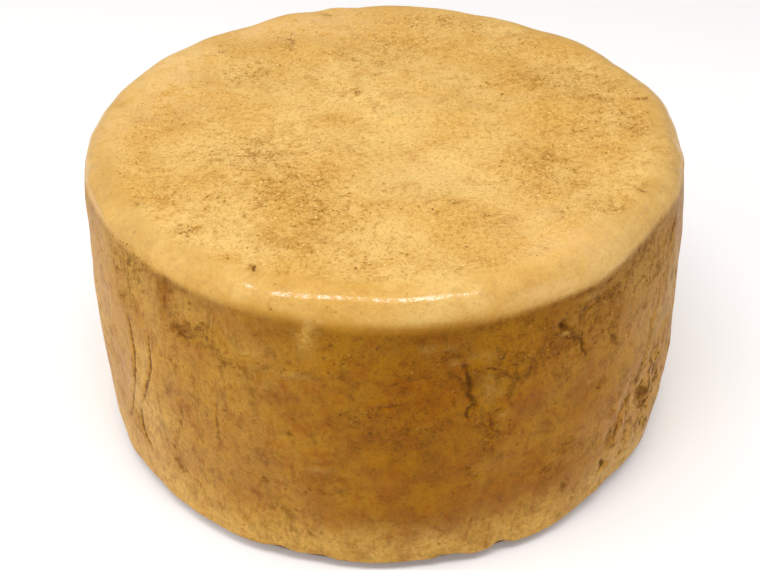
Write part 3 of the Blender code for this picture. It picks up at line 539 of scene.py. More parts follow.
@dataclass
class WheelMesh:
    """The plain wheel as a net of rings, ready for its skin.

    Attributes:
        form: The wheel's sizes.
        columns: Points round the rim.
        side_rows: Rows between shoulder and lip.
        shoulder_rows: Rows over the shoulder.
        lip_rows: Rows round the lip.
        foot_rows: Rows from the lip in to the flat foot.
        ring_step: Distance between the rings of the top, in metres.
        halvings: Radii below which a ring of the top holds half the points of the one outside it.
        foot_rings: Radii of the foot's rings, each with half the points of the one outside it.
        fine_reach: How far from a dark stroke the net is made finer, in metres.
        fine_dirt_and_shade: How dark a stroke must be for that; its darkening is partly dirt and partly
            painted shade.
    """

    form: WheelForm
    columns: int = 576
    side_rows: int = 82
    shoulder_rows: int = 11
    lip_rows: int = 4
    foot_rows: int = 3
    ring_step: float = 0.00135
    halvings: tuple[float, ...] = (0.046, 0.024, 0.012)
    foot_rings: tuple[float, ...] = (0.060, 0.030, 0.012)
    fine_reach: float = 0.0022
    fine_dirt_and_shade: float = 0.55

    def rim_outline(self) -> list[Pair]:
        """Draws the outline from the shoulder's inner edge down to the foot.

        Returns:
            Its points as (radius, height).
        """
        form = self.form
        flat, low = form.rim_radius - form.shoulder, form.lip_height + form.lip_radius
        points = []
        for step in range(self.shoulder_rows + 1):
            turn = 0.5 * math.pi * step / self.shoulder_rows
            out, up = form.shoulder * math.sin(turn), form.shoulder * math.cos(turn)
            points.append((flat + out, form.side_top + up))
        for step in range(1, self.side_rows + 1):
            height = form.side_top + (low - form.side_top) * step / self.side_rows
            points.append((float(form.side_radius(np.array(height))), height))
        for step in range(1, self.lip_rows + 1):
            turn = math.radians(form.lip_turn) * step / self.lip_rows
            reach = form.base_radius - form.lip_radius * (1.0 - math.cos(turn))
            points.append((reach, low - form.lip_radius * math.sin(turn)))
        reach, height = points[-1]
        inward = form.base_radius - form.undercut - reach
        for step in range(1, self.foot_rows + 1):
            share = step / self.foot_rows
            points.append((reach + inward * share, height * (1.0 - share)))
        return points

    def rings(self) -> list[tuple[float, float, int]]:
        """Lists the rings from the top's middle to the foot's.

        Returns:
            Each ring as (radius, height, number of points).
        """
        form = self.form
        outline = self.rim_outline()
        flat = outline[0][0]
        inner = []
        count = round(flat / self.ring_step)
        for step in range(1, count):
            radius = flat * step / count
            fewer = sum(radius < limit for limit in self.halvings)
            inner.append((radius, form.height, self.columns >> fewer))
        rim = [(radius, height, self.columns) for radius, height in outline]
        foot = [(radius, 0.0, self.columns >> (n + 1)) for n, radius in enumerate(self.foot_rings)]
        return inner + rim + foot

    @staticmethod
    def bridge(first: list[int], second: list[int]) -> list[tuple[int, ...]]:
        """Joins two rings with faces, where one may hold half the points of the other.

        Args:
            first: The points of the upper or inner ring.
            second: The points of the lower or outer ring.

        Returns:
            Faces as tuples of points, all facing outward.
        """
        faces: list[tuple[int, ...]] = []
        near, far = len(first), len(second)
        if near == far:
            for i in range(near):
                j = (i + 1) % near
                faces.append((first[i], second[i], second[j], first[j]))
            return faces
        few, many = (first, second) if near < far else (second, first)
        for i in range(len(few)):
            p, q = few[i], few[(i + 1) % len(few)]
            a, b, c = many[2 * i], many[2 * i + 1], many[(2 * i + 2) % len(many)]
            wedge = [(p, a, b), (p, b, q), (q, b, c)]
            faces.extend(wedge if near < far else [face[::-1] for face in wedge])
        return faces

    def shape(self) -> bmesh.types.BMesh:
        """Makes the plain wheel with both poles closed.

        Returns:
            Its net.
        """
        points: list[Triple] = []
        faces: list[tuple[int, ...]] = []
        loops: list[list[int]] = []
        for radius, height, count in self.rings():
            turns = np.arange(count) * 2.0 * np.pi / count
            loops.append(list(range(len(points), len(points) + count)))
            points.extend(zip(radius * np.sin(turns), -radius * np.cos(turns), np.full(count, height)))
        for first, second in zip(loops, loops[1:]):
            faces.extend(self.bridge(first, second))
        top, bottom = len(points), len(points) + 1
        points.extend([(0.0, 0.0, self.form.height), (0.0, 0.0, 0.0)])
        for loop, pole, facing in ((loops[0], top, 1), (loops[-1], bottom, -1)):
            ends = zip(loop, loop[1:] + loop[:1])
            faces.extend([(pole, a, b)[::facing] for a, b in ends])
        mesh = bpy.data.meshes.new("plain_wheel")
        mesh.from_pydata(points, [], faces)
        body = bmesh.new()
        body.from_mesh(mesh)
        bpy.data.meshes.remove(mesh)
        return body

    def refine(self, body: bmesh.types.BMesh) -> None:
        """Makes the net finer along the dark strokes.

        Args:
            body: The net of the plain wheel.
        """
        plain = np.array([vertex.co for vertex in body.verts])
        points = self.form.body_points(*self.radius_height_azimuth(plain))
        near = np.zeros(len(points), dtype=bool)
        for stroke, way in self.form.strokes():
            if stroke.dirt_and_shade >= self.fine_dirt_and_shade:
                picked = near_way(points, way, self.fine_reach)
                gap, _ = distance_to_way(points[picked], way)
                near[picked[gap < self.fine_reach]] = True
        edges = {edge for vertex, flag in zip(body.verts, near) if flag for edge in vertex.link_edges}
        bmesh.ops.subdivide_edges(body, edges=list(edges), cuts=1, use_grid_fill=True)

    @staticmethod
    def radius_height_azimuth(plain: Array) -> tuple[Array, Array, Array]:
        """Radius and height in metres and azimuth in degrees of points on the plain wheel."""
        azimuth = np.degrees(np.arctan2(plain[:, 0], -plain[:, 1]))
        return np.hypot(plain[:, 0], plain[:, 1]), plain[:, 2], azimuth

    def build(self, marks: "RindMarks") -> bpy.types.Object:
        """Builds the wheel with every mark of its rind stored on its points.

        Args:
            marks: Reads the marks at given points.

        Returns:
            The object, still without its fine skin.
        """
        body = self.shape()
        self.refine(body)
        bmesh.ops.recalc_face_normals(body, faces=body.faces[:])
        mesh = bpy.data.meshes.new("wheel_rind")
        body.to_mesh(mesh)
        body.free()
        radius, height, azimuth = self.radius_height_azimuth(points_of(mesh).astype(float))
        points = self.form.body_points(radius, height, azimuth)
        for name, values in marks.read(points, radius, height, azimuth).items():
            kind, field = ("FLOAT_VECTOR", "vector") if values.ndim == 2 else ("FLOAT", "value")
            store = mesh.attributes.new(name, kind, "POINT")
            store.data.foreach_set(field, values.astype(np.float32).ravel())
        move_points(mesh, points)
        LOG.info("wheel net: %d points, %d faces", len(mesh.vertices), len(mesh.polygons))
        return stand("wheel_rind", mesh)


@dataclass
class RindMarks:
    """Reads the rind's relief, stains and finish at points of the wheel.

    Sizes are in metres. A span says where a mark starts and where it is full: out from the rim's
    radius, up from the floor (the crest's from the top), down from the collar's edge for gold and
    the painted shade below it, and in heights of the lip for the painted shade under the lip.

    Attributes:
        form: The wheel's sizes.
        dirt_and_shade_share: Width of a stroke's darkening, partly dirt and partly painted shade, as a share
            of the stroke's.
        thinness: Share of its width and depth that a dark crease keeps where it is shallow.
        bold_depth: Depth in millimetres from which it isn't shallow.
        stroke_reach: How far a stroke is felt, in half widths.
        taper: A stroke's share at its ends, and how fast it swells from there.
        banks: Height of a stroke's banks as a share of its depth, and where they lie.
        side_spot: Half sizes of the side's small spots, in degrees and millimetres.
        top_spot: Half sizes of the top's small spots, in millimetres.
        top_share: Share of the shoulder's height that counts as the top.
        flaky: Flakes on clean rind, more on stained rind, and how much they vary.
    """

    form: WheelForm
    dirt_and_shade_share: float = 0.70
    thinness: float = 0.66
    bold_depth: float = 1.2
    stroke_reach: float = 4.5
    taper: Pair = (0.45, 0.6)
    banks: Pair = (0.22, 1.9)
    side_spot: Pair = (0.60, 1.0)
    top_spot: Pair = (1.2, 1.2)
    spot_strength: float = 0.75
    top_share: float = 0.45
    rim_out: Pair = (-0.0125, -0.0065)
    rim_up: Pair = (0.0885, 0.0945)
    crest_out: Pair = (-0.0068, -0.0050)
    crest_up: Pair = (-0.0048, -0.0028)
    gold: Pair = (-0.0040, 0.0010)
    # Painted shade under the lip: where it starts and where it is full, in heights of the lip.
    under: Pair = (1.20, 1.06)
    # Paler towards the floor, partly paler rind and partly painted bounce light from the floor: where it
    # starts and is full.
    foot: Pair = (0.028, 0.008)
    # Painted shade just below the collar's edge, where the side steps in: where it starts and is full.
    recess_shade: Pair = (0.0003, 0.0018)
    recess_shade_fade: float = 0.006
    flaky: Triple = (0.10, 0.9, 0.22)
    flake_size: float = 0.016
    flake_seed: int = 71
    side_flakes: float = 0.10
    rim_flakes: float = 0.9
    guess_heights: Pair = (10.0, 92.0)
    guess_strength: Pair = (0.25, 0.7)

    def relief(self, points: Array, height: Array, azimuth: Array) -> tuple[Array, Array]:
        """The rind's offset from the plain wheel, and the darkening of its low places: partly dirt, partly
        painted shade.

        Args:
            points: Points in metres.
            height: Their heights in metres.
            azimuth: Their azimuths in degrees.

        Returns:
            The offsets in metres, and that darkening from 0 to 1.
        """
        form = self.form
        offset, clean = np.zeros(len(points)), np.ones(len(points))
        for index, (wavelength, size) in enumerate(form.swellings):
            offset += size * swell_field(points, wavelength, form.swelling_seed + index)
        for blot in form.hollows:
            offset -= MM * blot.at(azimuth, height / MM)
        below = form.read_round(form.collar_edge, azimuth) * MM - height
        fading = np.exp(-np.clip(below, 0.0, None) / form.collar_fade)
        half_step = 0.5 * form.collar_step
        offset -= form.collar_proud * ramp(below, -half_step, half_step) * fading
        size, shake = form.jostle
        swells = [swell_field(points, size, form.jostle_seed + axis) for axis in range(3)]
        shaken = points + shake * np.stack(swells, axis=-1)
        least, power = self.taper
        bank, bank_place = self.banks
        for stroke, way in form.strokes():
            thin = self.thinness if stroke.dirt_and_shade > 0.0 and stroke.depth < self.bold_depth else 1.0
            half = stroke.half_width * MM * thin
            near = near_way(points, way, self.stroke_reach * half)
            gap, share = distance_to_way(shaken[near], way)
            taper = least + (1.0 - least) * np.sin(np.pi * np.clip(share, 0.0, 1.0)) ** power
            banks = bank * np.exp(-((gap - bank_place * half) / half) ** 2)
            offset[near] -= stroke.depth * MM * thin * taper * (np.exp(-(gap / half) ** 2) - banks)
            clean[near] *= 1.0 - stroke.dirt_and_shade * taper * np.exp(-(gap / (self.dirt_and_shade_share * half)) ** 2)
        torn = self.torn(height, azimuth)
        for index, wavelength in enumerate(form.torn_lengths):
            offset += torn * form.torn_height * swell_field(points, wavelength, form.torn_seed + index)
        offset -= torn * form.torn_height * form.torn_sunk
        return offset, 1.0 - clean

    def torn(self, height: Array, azimuth: Array) -> Array:
        """Finds how torn and pitted the rind is.

        Args:
            height: Heights in metres.
            azimuth: Azimuths in degrees.

        Returns:
            The amount at each place, from 0 to 1.
        """
        across = (azimuth - self.form.torn_middle[0]) / self.form.torn_half[0]
        up = (height / MM - self.form.torn_middle[1]) / self.form.torn_half[1]
        return ramp(self.form.torn_edge * (1.0 - np.hypot(across, up)), 0.0, 1.0)

    @staticmethod
    def blots(blots: tuple[Blot, ...], across: Array, up: Array) -> Array:
        """Adds up blots.

        Args:
            blots: The blots.
            across: Places across, in the blots' own units.
            up: Places up, in the blots' own units.

        Returns:
            The amount at each place, from 0 to 1.
        """
        clean = np.ones(len(across))
        for blot in blots:
            clean *= 1.0 - blot.at(across, up)
        return 1.0 - clean

    def guessed(self, seed: int, count: int, halves: Pair) -> tuple[Blot, ...]:
        """Random stains for the side that the picture doesn't show.

        Args:
            seed: Seed of the draw.
            count: How many stains.
            halves: Smallest and largest half size, in degrees and millimetres.

        Returns:
            The stains.
        """
        draw = np.random.default_rng(seed)
        stains = []
        for _ in range(count):
            azimuth, height = draw.uniform(*self.form.scatter_span), draw.uniform(*self.guess_heights)
            half = (draw.uniform(*halves), draw.uniform(*halves))
            middle = ((azimuth + 180.0) % 360.0 - 180.0, height)
            stains.append(Blot(middle, half, draw.uniform(*self.guess_strength)))
        return tuple(stains)

    def read(self, points: Array, radius: Array, height: Array, azimuth: Array) -> dict[str, Array]:
        """Reads every mark.

        Args:
            points: Points of the plain wheel in metres.
            radius: Their radii in metres.
            height: Their heights in metres.
            azimuth: Their azimuths in degrees.

        Returns:
            The marks by name.
        """
        form = self.form
        offset, dirt_and_shade = self.relief(points, height, azimuth)
        calm = ramp(height, 0.0, form.foot_calm)
        outer = ramp(radius, 0.5 * form.rim_radius, form.rim_radius)
        push = outer * form.read_round(form.foot_push, azimuth) * MM * ramp(height, form.foot_reach, 0.0)
        lip = form.lip_height
        rise = form.read_round(form.lip_edge, azimuth) * MM - lip
        rise *= ramp(height, lip + form.lip_reach, lip) * np.clip(height / lip, 0.0, 1.0)
        turn = np.radians(azimuth)
        below = form.read_round(form.collar_edge, azimuth) * MM - height
        half_blend = 0.5 * form.read_round(form.collar_blend, azimuth) * MM
        on_top = height > form.height - self.top_share * form.shoulder
        up, wide, deep = height / MM, points[:, 0] / MM, points[:, 1] / MM
        side_stains = SIDE_STAINS + self.guessed(seed=5, count=44, halves=(1.5, 7.0))
        side_pale = SIDE_PALE + self.guessed(seed=6, count=18, halves=(1.0, 4.0))
        top_stains = TOP_STAINS + tuple(Blot(spot, self.top_spot, self.spot_strength) for spot in TOP_SPOTS)
        side_stains += tuple(Blot(spot, self.side_spot, self.spot_strength) for spot in SIDE_SPOTS)
        stain = np.where(on_top, self.blots(top_stains, wide, deep), self.blots(side_stains, azimuth, up))
        pale = np.where(on_top, self.blots(TOP_PALE, wide, deep), self.blots(side_pale, azimuth, up))
        from_rim, from_top = radius - form.rim_radius, height - form.height
        rimmed = ramp(from_rim, *self.rim_out) * ramp(height, *self.rim_up)
        few, more, uneven = self.flaky
        patchy = uneven * swell_field(points, self.flake_size, self.flake_seed)
        flaky = np.clip(few + more * stain + patchy, 0.0, 1.0)
        return {
            "pressed": offset * calm,
            "calm": calm,
            "moved": np.stack([push * np.sin(turn), -push * np.cos(turn), rise], axis=-1),
            # Darkening along creases, cracks and pits: partly dirt, partly painted shade.
            "dirt_and_shade": dirt_and_shade,
            "stain": stain,
            "pale": pale,
            "torn": self.torn(height, azimuth),
            "below_collar": ramp(below, -half_blend, half_blend),
            "golden": ramp(below, *self.gold) * form.read_round(form.golden_share, azimuth),
            # Painted shade on the lip's underside.
            "under": outer * ramp(height / lip, *self.under),
            "tanned": np.where(on_top, 0.0, self.blots(SIDE_TANNED, azimuth, up)),
            # Paler near the floor: partly paler rind, partly painted bounce light.
            "foot": ramp(height, *self.foot),
            # Painted shade just below the collar's edge.
            "recess_shade": ramp(below, *self.recess_shade) * np.exp(-np.clip(below, 0.0, 1.0) / self.recess_shade_fade),
            # Partly paler rind, partly painted sheen at the side's left and right.
            "paleness": form.read_round(form.side_paleness, azimuth),
            "crest": ramp(from_rim, *self.crest_out) * ramp(from_top, *self.crest_up),
            "rimmed": rimmed,
            # Partly tone, partly painted shade on the collar away from the front.
            "rim_tone_and_shade": rimmed * form.read_round(form.rim_tone_and_shade, azimuth),
            "flaky": np.where(on_top, 1.0, self.side_flakes) * flaky * (1.0 - self.rim_flakes * rimmed),
        }


class Signal:
    """A value that varies over a surface, held by the node socket that gives it."""

    def __init__(self, net: "Net", socket: bpy.types.NodeSocket) -> None:
        """Keeps the socket and the net that it is in."""
        self.net = net
        self.socket = socket

    def maths(self, operation: str, *values: "Signal | float", clamp: bool = False) -> "Signal":
        """Adds one step of arithmetic on values, kept from 0 to 1 where it is told to clamp."""
        feeds = dict(enumerate(values))
        return self.net.add("ShaderNodeMath", {"operation": operation, "use_clamp": clamp}, feeds)

    def __add__(self, other: "Signal | float") -> "Signal":
        """The sum."""
        return self.maths("ADD", self, other)

    __radd__ = __add__

    def __sub__(self, other: "Signal | float") -> "Signal":
        """The value less another."""
        return self.maths("SUBTRACT", self, other)

    def __rsub__(self, other: float) -> "Signal":
        """A number less the value."""
        return self.maths("SUBTRACT", other, self)

    def __mul__(self, other: "Signal | float") -> "Signal":
        """The product."""
        return self.maths("MULTIPLY", self, other)

    __rmul__ = __mul__

    def __rtruediv__(self, other: float) -> "Signal":
        """A number divided by the value."""
        return self.maths("DIVIDE", other, self)

    def __pow__(self, other: float) -> "Signal":
        """The value raised to a power."""
        return self.maths("POWER", self, other)

    def clipped(self) -> "Signal":
        """Keeps the value from 0 to 1."""
        return self.maths("ADD", self, 0.0, clamp=True)

    def most(self, other: "Signal | float") -> "Signal":
        """The larger of two values."""
        return self.maths("MAXIMUM", self, other)

    def step(self, low: float, high: float, least: float = 0.0, most: float = 1.0) -> "Signal":
        """Eases from the least, where the value is low, to the most, where it is high."""
        feeds = {"Value": self, "From Min": low, "From Max": high, "To Min": least, "To Max": most}
        return self.net.add("ShaderNodeMapRange", {"interpolation_type": "SMOOTHSTEP"}, feeds)


class Net:
    """A node tree that is built from plain calls."""

    def __init__(self, tree: bpy.types.NodeTree) -> None:
        """Keeps the tree."""
        self.tree = tree

    def node(self, kind: str, settings: dict | None = None, feeds: dict | None = None) -> bpy.types.Node:
        """Adds a node: its kind, then its settings, then what goes into its sockets.

        Args:
            kind: The node's type.
            settings: Its settings by name.
            feeds: Values or links by socket name or number.

        Returns:
            The node.
        """
        made = self.tree.nodes.new(kind)
        for name, value in (settings or {}).items():
            setattr(made, name, value)
        for name, value in (feeds or {}).items():
            socket = made.inputs[name]
            if isinstance(value, Signal):
                self.tree.links.new(value.socket, socket)
            else:
                socket.default_value = value
        return made

    def add(
        self, kind: str, settings: dict | None = None, feeds: dict | None = None, out: int | str = 0
    ) -> Signal:
        """Adds a node and gives one of its outputs."""
        return Signal(self, self.node(kind, settings, feeds).outputs[out])

    def noise(
        self, place: Signal, size: Signal | float, detail: float, rough: float = 0.5, bend: float = 0.0
    ) -> Signal:
        """Soft random mottling.

        Args:
            place: Where on the surface.
            size: Distance between neighbouring swellings in metres.
            detail: How many finer layers are laid over it.
            rough: How strong those are.
            bend: How far its shapes are bent.

        Returns:
            A value around 0.5, from 0 to 1.
        """
        feeds = {"Vector": place, "Scale": 1.0 / size, "Detail": detail}
        feeds.update({"Roughness": rough, "Distortion": bend})
        return self.add("ShaderNodeTexNoise", {"noise_dimensions": "3D"}, feeds)

    def ragged(self, place: Signal, size: float) -> Signal:
        """Jostles a place by up to a small size, so that what is drawn there has ragged edges.

        Args:
            place: The place.
            size: The size in metres.

        Returns:
            The jostled place.
        """
        feeds = {"Vector": place, "Scale": 1.0 / size, "Detail": 1.0}
        jostle = self.add("ShaderNodeTexNoise", None, feeds, "Color")
        feeds = {0: jostle, 1: (size, size, size), 2: place}
        return self.add("ShaderNodeVectorMath", {"operation": "MULTIPLY_ADD"}, feeds)

    def stretched(self, place: Signal, across: float, up: float) -> Signal:
        """The same place with its distances scaled across and up."""
        feeds = {0: place, 1: (across, across, up)}
        return self.add("ShaderNodeVectorMath", {"operation": "MULTIPLY"}, feeds)

    def mix(self, share: "Signal | float", first: "Signal | Colour", second: "Signal | Colour") -> Signal:
        """Mixes two colours by a share of the second."""
        feeds = {0: share, 6: first, 7: second}
        return self.add("ShaderNodeMix", {"data_type": "RGBA"}, feeds, 2)

    def stored(self, name: str, kind: str = "FLOAT") -> Signal:
        """Reads what a shape's points store under a name."""
        return self.add("GeometryNodeInputNamedAttribute", {"data_type": kind}, {"Name": name})


class Paint:
    """A material in the making: its shader and the nodes that feed it."""

    def __init__(self, name: str, fixed: dict[str, object]) -> None:
        """Makes the material.

        Args:
            name: Its name.
            fixed: What is the same all over, by socket.
        """
        self.material = bpy.data.materials.new(name)
        self.material.use_nodes = True
        self.net = Net(self.material.node_tree)
        self.shader = self.material.node_tree.nodes["Principled BSDF"]
        for socket, value in fixed.items():
            self.shader.inputs[socket].default_value = value

    def feed(self, socket: str, value: Signal) -> None:
        """Leads a value that varies into one of the shader's sockets."""
        self.material.node_tree.links.new(value.socket, self.shader.inputs[socket])


@dataclass(frozen=True)
class Mottling:
    """A soft random mottling: its size in metres, its finer layers and how it is bent and stretched."""

    size: float
    detail: float = 3.0
    rough: float = 0.5
    bend: float = 0.0
    across: float = 1.0
    up: float = 1.0


@dataclass(frozen=True)
class Dots:
    """Small dots at random.

    Attributes:
        spacing: Distance between neighbouring dots in metres.
        reach: A dot's radius as a share of that distance.
        share: How many of the dots there are, as a share of what they follow.
        follows: What they follow, by name.
        ragged: How ragged their outlines are, in metres.
        up: Scale of distances upwards.
        edge: How softly a dot comes in.
    """

    spacing: float
    reach: float
    share: float
    follows: str
    ragged: float
    up: float = 1.0
    edge: float = 0.06


@dataclass(frozen=True)
class Fade:
    """Eases from the least to the most between two values of what it follows, given by name."""

    follows: str
    start: float
    end: float
    least: float = 0.0
    most: float = 1.0


@dataclass(frozen=True)
class Layer:
    """A layer of colour, how strong it is, and the values by name or fades that it follows."""

    colour: Colour
    strength: float
    follows: tuple[Fade | str, ...]


MOTTLINGS: dict[str, Mottling] = {
    "broad": Mottling(0.030),
    "cloud": Mottling(0.014, 4.0, 0.62, 0.4),
    "mott": Mottling(0.0052, 4.0, 0.64, 0.5),
    "hue": Mottling(0.0041, 3.0, 0.6, 0.6, 1.3, 0.9),
    "streak": Mottling(0.0028, 3.0, 0.62, 0.4, 1.0, 0.28),
    "peel": Mottling(0.0026, 3.0, 0.55),
    "grit": Mottling(0.0015, 3.0, 0.75),
    "sand": Mottling(0.0007, 2.0, 0.70),
}
BUTTER = linear(216, 168, 87)
CREAM = linear(231, 191, 115)
MILK = linear(240, 200, 138)
STRAW = linear(206, 151, 64)
TOBACCO = linear(170, 114, 40)
OLIVE = linear(134, 94, 26)
GOLDEN = linear(188, 130, 16)
AMBER = linear(149, 86, 2)
HONEY = linear(169, 113, 8)
RUST = linear(148, 72, 4)
PALE_AMBER = linear(217, 173, 86)
TAN = linear(214, 168, 82)
BARK = linear(204, 150, 84)
# A dull collar tone, partly painted shade.
DUN_AND_SHADE = linear(198, 156, 86)
UMBER = linear(104, 60, 14)
SOOT = linear(74, 42, 18)
GLINT = linear(252, 218, 150)
TOP_LAYERS: tuple[Layer, ...] = (
    Layer(CREAM, 1.0, (Fade("broad", 0.36, 0.64),)),
    Layer(STRAW, 0.55, (Fade("cloud", 0.46, 0.72),)),
    Layer(TOBACCO, 0.30, (Fade("mott", 0.48, 0.70), "clean")),
    Layer(TOBACCO, 0.52, ("dust",)),
    Layer(OLIVE, 0.52, ("dust", Fade("grit", 0.44, 0.64))),
    Layer(TOBACCO, 0.48, (Fade("grit", 0.50, 0.66), "clean")),
    Layer(CREAM, 0.40, (Fade("grit", 0.48, 0.34), "clean")),
    Layer(TOBACCO, 0.50, (Fade("sand", 0.52, 0.68), "clean")),
    Layer(CREAM, 0.50, (Fade("sand", 0.48, 0.32), "clean")),
    Layer(STRAW, 0.28, ("rimmed", Fade("mott", 0.40, 0.66))),
    # Duller collar away from the front: partly tone, partly painted shade.
    Layer(DUN_AND_SHADE, 1.0, ("rim_tone_and_shade", Fade("cloud", 0.38, 0.62, 0.35, 0.65))),
    Layer(GOLDEN, 1.0, ("golden",)),
    # Dark pits: partly brown specks, partly painted shade in the pits.
    Layer(OLIVE, 0.72, ("pits",)),
    # Bright chips on the top: partly pale grains, partly painted glints.
    Layer(GLINT, 0.66, ("chips",)),
    Layer(MILK, 0.80, ("fair",)),
)
SIDE_LAYERS: tuple[Layer, ...] = (
    Layer(HONEY, 1.0, (Fade("cloud", 0.38, 0.66),)),
    Layer(UMBER, 0.22, (Fade("broad", 0.47, 0.66),)),
    # Paler side: partly paler rind, partly painted sheen at its left and right.
    Layer(PALE_AMBER, 1.0, ("paleness", Fade("broad", 0.35, 0.65, 0.55, 1.0))),
    # Paler band at the foot: partly paler rind, partly painted bounce light from the floor.
    Layer(TAN, 1.0, ("foot", Fade("cloud", 0.36, 0.60, 0.60, 1.0))),
    Layer(RUST, 0.44, (Fade("hue", 0.50, 0.68),)),
    Layer(OLIVE, 0.36, (Fade("hue", 0.50, 0.32),)),
    Layer(UMBER, 0.52, (Fade("mott", 0.48, 0.70), "dark_grain_share")),
    Layer(HONEY, 0.48, (Fade("mott", 0.50, 0.32),)),
    Layer(AMBER, 0.70, ("tanned",)),
    Layer(UMBER, 1.0, ("streaky", Fade("streak", 0.54, 0.70))),
    # Painted shade in the step below the collar's edge.
    Layer(UMBER, 0.42, ("recess_shade",)),
    Layer(UMBER, 0.72, ("patches", Fade("grit", 0.42, 0.60, 0.35, 1.0))),
    Layer(SOOT, 0.50, ("patches", Fade("grit", 0.48, 0.62))),
    Layer(UMBER, 0.38, (Fade("grit", 0.50, 0.68), "dark_grain_share")),
    Layer(UMBER, 0.38, (Fade("sand", 0.52, 0.70), "dark_grain_share")),
    Layer(HONEY, 0.36, (Fade("sand", 0.48, 0.30),)),
    Layer(BARK, 0.62, ("torn", Fade("streak", 0.56, 0.42))),
    Layer(UMBER, 0.62, ("torn", Fade("streak", 0.52, 0.64))),
    # Painted shade inside the torn patch's holes.
    Layer(UMBER, 0.80, ("holes",)),
    # Dark pits: partly brown specks, partly painted shade in the pits.
    Layer(UMBER, 0.60, ("pits",)),
    Layer(PALE_AMBER, 0.22, ("chips",)),
    # Painted shade: the lip's underside is darkened where the lip's own shadow falls.
    Layer(UMBER, 0.90, ("under",)),
    Layer(PALE_AMBER, 0.80, ("fair", Fade("grit", 0.38, 0.58, 0.35, 1.0))),
)
# Umber and soot along creases, cracks and pits: partly dirt, partly painted shade in them.
GRIME_AND_SHADE_LAYERS: tuple[Layer, ...] = (
    Layer(UMBER, 0.86, (Fade("grime_and_shade", 0.08, 0.62),)),
    Layer(SOOT, 0.80, (Fade("grime_and_shade", 0.60, 0.98),)),
)
GRAIN_ROWS: tuple[tuple[float, tuple[str, ...]], ...] = (
    (0.50, ("peel",)), (0.30, ("grit",)), (0.90, ("torn", "grit")), (0.50, ("dust", "grit")),
    (-0.55, ("pits",)), (0.15, ("chips",)), (-0.80, ("holes",)), (0.90, ("crest", "mott")),
    (0.55, ("crest", "grit")),
)


class Ground:
    """All that varies over the rind, by name: marks, mottlings and what is made of them."""

    def __init__(self, net: Net) -> None:
        """Starts with the mottlings.

        Args:
            net: The material's nodes.
        """
        self.net = net
        self.place = net.add("ShaderNodeTexCoord", out="Object")
        self.values: dict[str, Signal] = {}
        for name, kind in MOTTLINGS.items():
            place = net.stretched(self.place, kind.across, kind.up)
            self.values[name] = net.noise(place, kind.size, kind.detail, kind.rough, kind.bend)

    def __getitem__(self, name: str) -> Signal:
        """Gives a value. One that nobody has put in is a mark of the mesh.

        Args:
            name: The value's name.

        Returns:
            The value.
        """
        if name not in self.values:
            self.values[name] = self.net.add("ShaderNodeAttribute", {"attribute_name": name}, out="Fac")
        return self.values[name]

    def __setitem__(self, name: str, value: Signal) -> None:
        """Keeps a value under a name."""
        self.values[name] = value

    def faded(self, fade: Fade | str) -> Signal:
        """Finds what a layer follows.

        Args:
            fade: A value's name, or a fade over a value.

        Returns:
            The value, faded where a fade is given.
        """
        if isinstance(fade, str):
            return self[fade]
        return self[fade.follows].step(fade.start, fade.end, fade.least, fade.most)

    def amount(self, strength: float, *follows: Fade | str) -> Signal | float:
        """Lets a strength follow one value or several.

        Args:
            strength: The strength where every value is 1.
            follows: The values by name, or fades over them.

        Returns:
            The strength at each place.
        """
        total: Signal | float = strength
        for part in follows:
            total = total * self.faded(part)
        return total

    def total(self, start: float, **weights: float) -> Signal | float:
        """Adds named values to a number.

        Args:
            start: The number.
            weights: The weight of each value, by its name.

        Returns:
            The total.
        """
        result: Signal | float = start
        for name, weight in weights.items():
            result = result + weight * self[name]
        return result

    def dots(self, dots: Dots) -> Signal:
        """Strews dots over the rind.

        Args:
            dots: Their kind.

        Returns:
            A value that is 1 on a dot and 0 off it.
        """
        place = self.net.stretched(self.net.ragged(self.place, dots.ragged), 1.0, dots.up)
        feeds = {"Vector": place, "Scale": 1.0 / dots.spacing}
        cells = self.net.node("ShaderNodeTexVoronoi", None, feeds)
        draw = self.net.add("ShaderNodeSeparateColor", None, {0: Signal(self.net, cells.outputs["Color"])})
        off = Signal(self.net, cells.outputs["Distance"]).step(0.5 * dots.reach, dots.reach)
        wanted = (dots.share * self[dots.follows] - draw).step(0.0, dots.edge)
        return (1.0 - off) * wanted

    def lay(self, colour: "Signal | Colour", layers: tuple[Layer, ...]) -> Signal:
        """Lays layers of colour over a first one.

        Args:
            colour: The first colour.
            layers: The layers in order.

        Returns:
            The colour on top.
        """
        for layer in layers:
            colour = self.net.mix(self.amount(layer.strength, *layer.follows), colour, layer.colour)
        return colour


